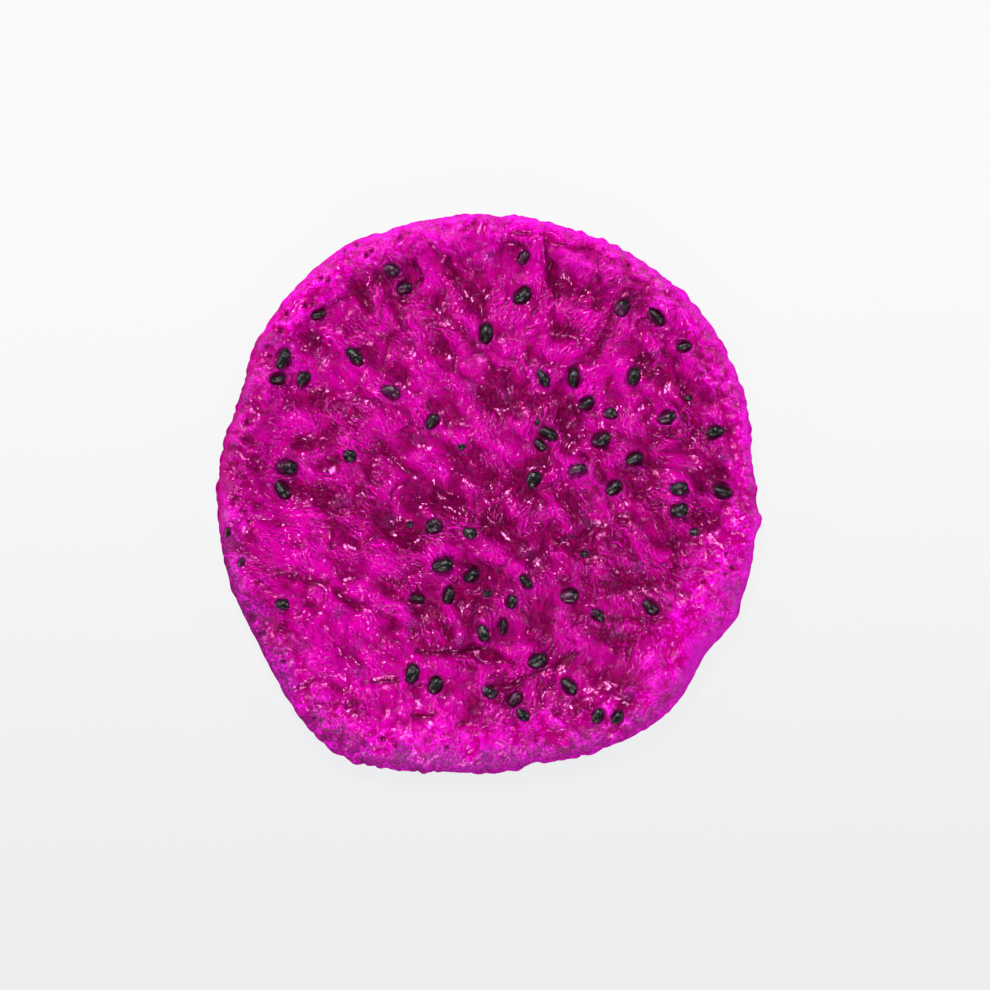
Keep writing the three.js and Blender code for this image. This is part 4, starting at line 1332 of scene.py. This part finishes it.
@dataclass
class Seeds:
    """The bare seeds of both faces: one mesh of closed seeds set in the flesh."""

    form: SliceForm
    dried: DriedFlesh
    under_places: list[SeedPlace]
    finish: "SeedFinish"
    seed: int = 5
    # Shape, in half lengths of the seed.
    fullness: float = 1.1
    height: float = 0.58
    blunt_breadth: float = 0.2
    waist_place: float = -0.35
    waist_half_length: float = 0.3
    dent_depth: float = 0.05
    # How seeds differ: from the least to the most.
    pointed: tuple[float, float] = (0.0, 0.36)
    point_curve: tuple[float, float] = (1.3, 2.4)
    pinched: tuple[float, float] = (0, 0.14)
    bent: tuple[float, float] = (-0.22, 0.22)
    own_width: tuple[float, float] = (0.9, 1.08)
    own_height: tuple[float, float] = (0.95, 1.2)
    drawn_in: tuple[float, float] = (0, 0.16)
    rolled: tuple[float, float] = (-0.4, 0.4)
    pitched: tuple[float, float] = (-0.16, 0.12)
    filmed: tuple[float, float] = (-0.2, 1.0)
    film_lean: tuple[float, float] = (-0.2, 0.6)
    film_fall: float = 0.3
    # How they sit: large seeds stand proud by a share of half their length, small ones as far below, none
    # much over the solid and none through the surface below.
    proud: float = 0.2
    small: float = 1.4
    over: float = 0.1
    clear: float = 0.02
    segments: int = 24
    rings: int = 16
    name: str = "seeds"

    def build(self) -> bpy.types.Object:
        """Models and dresses the seeds.

        Returns:
            The finished object, at the origin.
        """
        draws = Draws(self.seed)
        model = self._model_seed()
        shape = rows_of(model.data.vertices, "co")
        pieces = [self._copy(model, shape, place, Face.UPPER, draws) for place in BARE_SEEDS]
        pieces += [self._copy(model, shape, place, Face.UNDER, draws) for place in self.under_places]
        bpy.data.objects.remove(model)
        bpy.ops.object.select_all(action="DESELECT")
        for piece in pieces:
            piece.select_set(True)
        bpy.context.view_layer.objects.active = pieces[0]
        bpy.ops.object.join()
        joined = bpy.context.object
        joined.name = joined.data.name = self.name
        bpy.ops.object.shade_smooth()
        joined.data.materials.append(self.finish.material())
        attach(joined, BODY)
        log.info("%s: %d seeds", joined.name, len(pieces))
        return joined

    def _model_seed(self) -> bpy.types.Object:
        """One plain seed of length 2 along +X.

        Returns:
            The seed, at the origin.
        """
        bpy.ops.object.select_all(action="DESELECT")
        bpy.ops.mesh.primitive_uv_sphere_add(segments=self.segments, ring_count=self.rings, radius=1,
                                             rotation=(0, math.pi / 2, 0))
        model = bpy.context.object
        bpy.ops.object.transform_apply(rotation=True)
        return model

    def _own_shape(self, shape: np.ndarray, breadth: float,
                   draws: Draws) -> tuple[np.ndarray, np.ndarray, np.ndarray]:
        """The plain seed given a thin end, a bend, a flat side and a few dents of its own.

        Args:
            shape: the plain seed's points.
            breadth: its width over its length.
            draws: where the differences come from.

        Returns:
            The points along the seed, across it and up.
        """
        along, across, up = shape.T
        thin = (1 - along) / 2
        taper = 1 - draws.between(*self.pointed) * thin ** draws.between(*self.point_curve)
        slim = taper * (1 + self.blunt_breadth * along**2)
        from_waist = (along - self.waist_place) / self.waist_half_length
        waist = 1 - draws.between(*self.pinched) * np.exp(-(from_waist**2))
        dented = Waves(int(draws.between(1, 999)), count=10, longest=2.4, shortest=1.1,
                       height=self.dent_depth)
        dents = 1 + dented(along + up, across - up)
        bend = draws.between(*self.bent) * (1 - along**2)
        across = across * self.fullness * breadth * draws.between(*self.own_width) * slim * waist * dents
        across = across + bend
        up = up * self.height * taper * waist * dents * np.where(up > 0, draws.between(*self.own_height), 1)
        along = along - draws.between(*self.drawn_in) * thin**3
        roll, pitch = draws.between(*self.rolled), draws.between(*self.pitched)
        across, up = spun(across, up, roll)
        along, up = spun(along, up, pitch)
        return along, across, up

    def _ground(self, place: SeedPlace, face: Face) -> float:
        """Height of the flesh under a seed, without its folds' collars and sockets.

        Args:
            place: where the seed lies.
            face: the face it lies in.

        Returns:
            The height, in mm.
        """
        x, y = np.array([place.x]), np.array([place.y])
        if face is Face.UNDER:
            return self.form.under_height(x, y)[0]
        return self.form.upper_height(x, y)[0] + self.dried.sheet.read(self.dried.plain, x, y)[0]

    def _copy(self, model: bpy.types.Object, shape: np.ndarray, place: SeedPlace, face: Face,
              draws: Draws) -> bpy.types.Object:
        """One seed of the slice, with its own mesh.

        Args:
            model: the modelled seed.
            shape: the modelled seed's points.
            place: where the seed lies.
            face: the face it lies in.
            draws: where its own shape comes from.

        Returns:
            The placed copy.
        """
        copy = bpy.data.objects.new("seed", model.data.copy())
        bpy.context.scene.collection.objects.link(copy)
        along, across, up = self._own_shape(shape, place.breadth, draws)
        half = place.length / 2
        away_x, away_y = spun(along, across, math.radians(place.direction))
        proud = self.proud if place.length > self.small else -self.proud
        z = self._ground(place, face) + face.value * (proud + up) * half
        z -= max(0, z.max() - CEILING - self.over)
        z -= min(0, z.min() - self.clear)
        # A seed of the underside is turned over as a whole, so that its faces still look outward.
        set_places(copy.data, self.form.box_middle, place.x + half * away_x,
                   place.y + face.value * half * away_y, z)
        film = draws.between(*self.filmed) - self.film_fall * up - along * draws.between(*self.film_lean)
        attribute = copy.data.attributes.new("film", "FLOAT", "POINT")
        attribute.data.foreach_set("value", np.clip(film, 0, 1).astype(np.float32))
        return copy


# ---- Finishes ----


class FleshTextures:
    """The marks that the mesh holds, and the fine textures that the flesh's colour and relief share."""

    def __init__(self, r: Recipe) -> None:
        """Adds them to a recipe.

        Args:
            r: the recipe.
        """
        p = r.point()
        self.skin, self.lilac = r.attribute("skin"), r.attribute("lilac")
        self.hollow, self.pit, self.purple_and_shade = r.attribute("hollow"), r.attribute("pit"), r.attribute("purple_and_shade")
        self.dusk, self.brink = r.attribute("dusk"), r.attribute("brink")
        # Fibres, coarse and fine, and the shallow lines where the skin has puckered.
        across = r.attribute("grain") + math.pi / 2
        bent, ruffled = r.warped(p, amount=1.1, scale=0.6), r.warped(p, amount=0.6, scale=1.5)
        tangled = across + r.noise(p, 0.5).swing(3)
        self.coarse = r.fibres(bent, across, wavelength=0.62, patch=1.1, parallel=0.6)
        self.fine = r.fibres(ruffled, tangled, wavelength=0.34, patch=0.6, parallel=0.65)
        self.stroke = self.coarse * 0.6 + self.fine * 0.4
        self.pucker = (r.noise(bent, 1.1, 3, 0.6) - 0.5).size()
        # Blotches, with the listed zones of own tone and painted shade, specks and grains, from large to
        # small, and where fibres stand out.
        self.blotch_and_shade = r.noise(p, 0.22, 3) + r.attribute("stain_and_shade") * 0.22
        self.clump = r.noise(p, 0.6)
        self.speck, self.grainy = r.noise(p, 1.4, 3, 0.6), r.noise(p, 3.4, 2, 0.6)
        self.granule = r.cells(r.warped(p, amount=0.4, scale=1.6), 2.4)
        lush = r.noise(p, 0.42) * 0.75 + r.noise(p, 0.14) * 0.25 - self.hollow * 0.13
        self.patchy = lush.between(0.46, 0.6)
        ragged = 0.8 + self.grainy.swing(4) + self.speck.swing(3)
        self.pores = (r.attribute("pores") * ragged).between(0.25, 0.8)


@dataclass(frozen=True)
class FleshFinish:
    """Dried magenta flesh: velvety and porous on the rim, glossy and fibrous in the middle."""

    # the deepest colour, also painted shade in hollows, pits, pores, creases and the grooves between fibres
    deep: Colour = (0.11, 0.0, 0.03)
    wine: Colour = (0.46, 0.0, 0.10)
    # the middle's usual colour, also painted shade in the rim's hollows and pits and along its left edge
    body: Colour = (0.32, 0.0, 0.13)
    # bright magenta, also painted light on the swells
    bright: Colour = (0.66, 0.0, 0.38)
    rim: Colour = (0.70, 0.0, 0.49)
    # pale grains of the rim, and painted light along its outer edge
    bloom_and_light: Colour = (1.0, 0.013, 0.86)
    lilac: Colour = (0.54, 0.009, 0.42)
    # dark purple: the covered seeds through the flesh, and painted shade round the bare seeds and along the
    # dusky edge
    purple_and_shade: Colour = (0.075, 0.01, 0.062)
    # paler fibres: partly their own colour, partly painted highlight on their crests
    fibre_and_highlight: Colour = (0.92, 0.0, 0.60)
    tint: Colour = (1.0, 0.24, 0.7)
    gloss: float = 0.6
    depth: float = 0.25  # share of the light that passes through the flesh
    spread: tuple[float, float, float] = (0.0016, 0.0003, 0.0009)  # how far it does, in metres

    def material(self) -> bpy.types.Material:
        """The finish as a material: glossy, but matt along the outermost edge.

        Returns:
            The material.
        """
        r = Recipe("flesh")
        t = FleshTextures(r)
        tone = r.mix(t.skin, self._middle(r, t), self._rim(r, t))
        # the covered seeds' purple, and painted shade round the bare seeds
        tone = r.mix((t.purple_and_shade * (0.7 + t.grainy.swing(3))).clamped() * 0.9, tone, self.purple_and_shade)
        # painted shade in the open pores
        tone = r.mix(t.pores * 0.8, tone, self.deep)
        roughness = 0.13 + t.skin * t.lilac * 0.15 + t.speck.swing(0.1)
        normal = r.bump(self._relief(t))
        glossy, matt = (self._layer(r, tone, roughness, gloss, normal) for gloss in (self.gloss, 0.0))
        return r.surface(r.shade("MixShader", {}, {"Fac": t.brink, "Shader": glossy, "Shader_001": matt}))

    def _middle(self, r: Recipe, t: FleshTextures) -> "Shade":
        """Colour of the sunken middle: wine specks, fibres paler on their crests, partly as painted
        highlight, and painted shade between them, in the hollows, pits and creases, with painted light on the
        swells.

        Args:
            r: the recipe to add to.
            t: the flesh's textures.

        Returns:
            The colour.
        """
        # painted shade in the hollows, with darker blotches
        tone = r.mix((0.7 - 0.8 * t.hollow + t.blotch_and_shade.swing(2.0)).between(0.0, 1.0), self.deep, self.body)
        # painted light on the swells, with lighter blotches
        tone = r.mix((t.blotch_and_shade.swing(2.0) - t.hollow * 0.9).between(-0.3, 0.9), tone, self.bright)
        tone = r.mix(t.speck.between(0.48, 0.66) * 0.45, tone, self.wine)
        # fibres paler along their crests: partly their own colour, partly painted highlight
        tone = r.mix(((t.stroke - 0.53) * 7).clamped() * (0.15 + 0.75 * t.patchy), tone, self.fibre_and_highlight)
        # painted shade in the grooves between the fibres
        tone = r.mix(((0.48 - t.stroke) * 6).clamped() * (0.3 + 0.4 * t.patchy), tone, self.deep)
        # painted shade along the pucker creases
        tone = r.mix((0.03 - t.pucker).between(0.0, 0.03) * 0.6, tone, self.deep)
        # painted shade in the pits
        return r.mix((t.pit * 0.6).clamped(), tone, self.deep)

    def _rim(self, r: Recipe, t: FleshTextures) -> "Shade":
        """Colour of the rim: pale grains on velvet with painted shade in its hollows and pits, a lilac band
        below, and along its edge a purple network, partly painted shade, with painted shade at the left and
        painted light along the rest.

        Args:
            r: the recipe to add to.
            t: the flesh's textures.

        Returns:
            The colour.
        """
        pale = t.clump.swing(2.2) + t.speck.swing(2) + t.grainy.swing(4) + (0.4 - t.granule) * 0.8
        pale = pale + t.fine.swing(1.5)
        # painted shade in the rim's hollows and pits, with darker blotches, less where the grains are pale
        sunk = t.hollow * 0.8 + t.pit * 0.6 + (0.6 - t.blotch_and_shade) * 1.2 - pale * 0.8
        # pale grains, held back in the hollows as painted shade
        velvet = r.mix((pale - t.hollow * 0.5).clamped() * 0.75, self.rim, self.bloom_and_light)
        velvet = r.mix(sunk.between(-0.3, 0.8) * 0.85, velvet, self.body)
        # wine in the gaps between grains: partly its own colour, partly painted shade
        velvet = r.mix(t.granule.between(0.4, 0.7) * (0.5 - 0.2 * t.lilac), velvet, self.wine)
        # painted light along the outer edge, most where it is least dusky
        velvet = r.mix((t.brink * (1.0 - t.dusk) * (0.8 + pale * 0.4)).clamped() * 0.8, velvet, self.bloom_and_light)
        # painted shade along the outer edge at the left, where it is dusky beyond 1
        velvet = r.mix((t.brink * (t.dusk - 1.0) * 1.6).clamped(), velvet, self.body)
        velvet = r.mix(t.lilac * (0.25 + 0.6 * t.blotch_and_shade.between(0.42, 0.62)), velvet, self.lilac)
        # the lilac band's purple network, darkest where the edge is dusky: partly its own colour, partly
        # painted shade
        network_and_shade = t.dusk * t.lilac * (0.5 - pale * 0.7 + (t.granule - 0.4))
        return r.mix(network_and_shade.clamped() * 0.75, velvet, self.purple_and_shade)

    def _relief(self, t: FleshTextures) -> "Shade":
        """Fine relief, in mm: fibres and puckers in the middle, grains and open pores on the rim.

        Args:
            t: the flesh's textures.

        Returns:
            The height.
        """
        fibres = t.coarse * (0.03 + 0.2 * t.patchy) + t.fine * (0.03 + 0.13 * t.patchy)
        ripples = fibres + t.pucker.between(0, 0.03) * 0.02
        grains = (t.speck * 0.2 + t.grainy * 0.09 + t.fine * 0.06) * (0.4 + 0.8 * t.patchy)
        grains = grains - t.granule * 0.02 - t.pores * 0.2
        return ripples + (grains - ripples) * t.skin

    def _layer(self, r: Recipe, tone: "Shade", roughness: "Shade", gloss: float, normal: "Shade") -> "Shade":
        """One of the flesh's two surfaces.

        Args:
            r: the recipe to add to.
            tone: the colour.
            roughness: how matt it is.
            gloss: how strong its highlights are.
            normal: its fine relief.

        Returns:
            The shader.
        """
        return r.principled(Base_Color=tone, Roughness=roughness, Specular_IOR_Level=gloss,
                            Specular_Tint=self.tint, Subsurface_Weight=self.depth,
                            Subsurface_Radius=self.spread, Subsurface_Scale=1.0, Normal=normal)


@dataclass(frozen=True)
class SeedFinish:
    """Hard black seed coat with a soft blue-grey sheen, pink where a film of flesh clings to it."""

    coat: Colour = (0.0018, 0.0024, 0.0026)
    worn: Colour = (0.0036, 0.005, 0.0054)
    film: Colour = (0.09, 0.002, 0.06)
    tint: Colour = (1.0, 0.88, 0.94)
    gloss: float = 0.46

    def material(self) -> bpy.types.Material:
        """The finish as a material.

        Returns:
            The material.
        """
        r = Recipe("seed")
        p = r.point()
        mottle = r.noise(p, 2.5, 3)
        filmed = (r.attribute("film") + mottle.swing(1.6)).between(0.5, 1.1)
        tone = r.mix(mottle.between(0.4, 0.75), self.coat, self.worn)
        tone = r.mix(filmed * 0.8, tone, self.film)
        relief = r.noise(p, 3.4) * 0.1 + mottle * 0.05
        return r.surface(r.principled(Base_Color=tone, Roughness=0.2 + 0.2 * mottle,
                                      Specular_IOR_Level=self.gloss, Specular_Tint=self.tint,
                                      Normal=r.bump(relief)))


@dataclass(frozen=True)
class FloorFinish:
    """Plain pale board with a painted glow from inside, brighter towards its far side, and lit from above as
    well.
    """

    colour: Colour = (0.03, 0.03, 0.03)
    near: Colour = (0.80, 0.806, 0.822)
    far: Colour = (0.905, 0.905, 0.905)
    glow_begins: float = -60
    glow_ends: float = 36

    def material(self) -> bpy.types.Material:
        """The finish as a material.

        Returns:
            The material.
        """
        r = Recipe("floor")
        along = r.shade("SeparateXYZ", {}, {"Vector": r.point()}, "Y")
        # painted light: the glow fades from the far side towards the near one
        glow = r.mix(along.between(self.glow_begins, self.glow_ends), self.near, self.far)
        return r.surface(r.principled(Base_Color=self.colour, Roughness=0.9, Specular_IOR_Level=0.1,
                                      Emission_Color=glow, Emission_Strength=1.0))


# ---- The studio ----


@dataclass(frozen=True)
class Softbox:
    """A square area light that looks at the slice, in metres and watts."""

    name: str
    place: tuple[float, float, float]
    side: float
    power: float

    def build(self) -> None:
        """Adds the light."""
        lamp = bpy.data.lights.new(self.name, "AREA")
        lamp.shape = "SQUARE"
        lamp.size = self.side
        lamp.energy = self.power
        light = bpy.data.objects.new(self.name, lamp)
        light.location = self.place
        light.rotation_euler = (-Vector(self.place)).to_track_quat("-Z", "Y").to_euler()
        bpy.context.scene.collection.objects.link(light)


@dataclass(frozen=True)
class Studio:
    """Floor, lights and camera."""

    softboxes: tuple[Softbox, ...] = (
        Softbox("key", (-0.1, 0.4, 0.5), 0.14, 4.0),
        Softbox("left", (-0.6, 0.1, 0.32), 0.12, 1.8),
        Softbox("right", (0.6, 0.1, 0.32), 0.12, 1.65),
        Softbox("front", (0.0, -0.6, 0.36), 0.14, 2.9),
    )
    sky: float = 0.05
    floor_size: float = 3.0
    elevation: float = 87
    distance: float = 0.495
    lens: float = 150
    # Where the camera looks, a little off the slice's middle.
    aim: tuple[float, float, float] = (0.00067, -0.0003, 0.0025)

    def build(self) -> None:
        """Adds everything round the slice."""
        self._floor()
        for softbox in self.softboxes:
            softbox.build()
        world = bpy.data.worlds.new("pale room")
        world.use_nodes = True
        world.node_tree.nodes["Background"].inputs["Color"].default_value = (1, 1, 1, 1)
        world.node_tree.nodes["Background"].inputs["Strength"].default_value = self.sky
        bpy.context.scene.world = world
        bpy.context.scene.view_settings.view_transform = "Standard"
        self._camera()

    def _floor(self) -> None:
        """Adds the floor."""
        bpy.ops.object.select_all(action="DESELECT")
        bpy.ops.mesh.primitive_plane_add(size=self.floor_size, location=(0, 0, 0))
        floor = bpy.context.object
        floor.name = "floor"
        floor.data.materials.append(FloorFinish().material())

    def _camera(self) -> None:
        """Adds the camera, looking down from the near side."""
        camera = bpy.data.objects.new("camera", bpy.data.cameras.new("camera"))
        camera.data.lens = self.lens
        camera.data.clip_start = 0.01
        tilt = math.radians(self.elevation)
        back = Vector((0, -math.cos(tilt), math.sin(tilt)))
        camera.location = Vector(self.aim) + back * self.distance
        camera.rotation_euler = (math.pi / 2 - tilt, 0, 0)
        bpy.context.scene.collection.objects.link(camera)
        bpy.context.scene.camera = camera


# ---- The whole scene ----


def main() -> None:
    """Builds the studio, the flesh and the seeds."""
    Studio().build()
    form = SliceForm()
    dried = DriedFlesh(form)
    Flesh(form, dried, FleshFinish()).build()
    Seeds(form, dried, UnderSeeds().places(form), SeedFinish()).build()


if __name__ == "__main__":
    main()
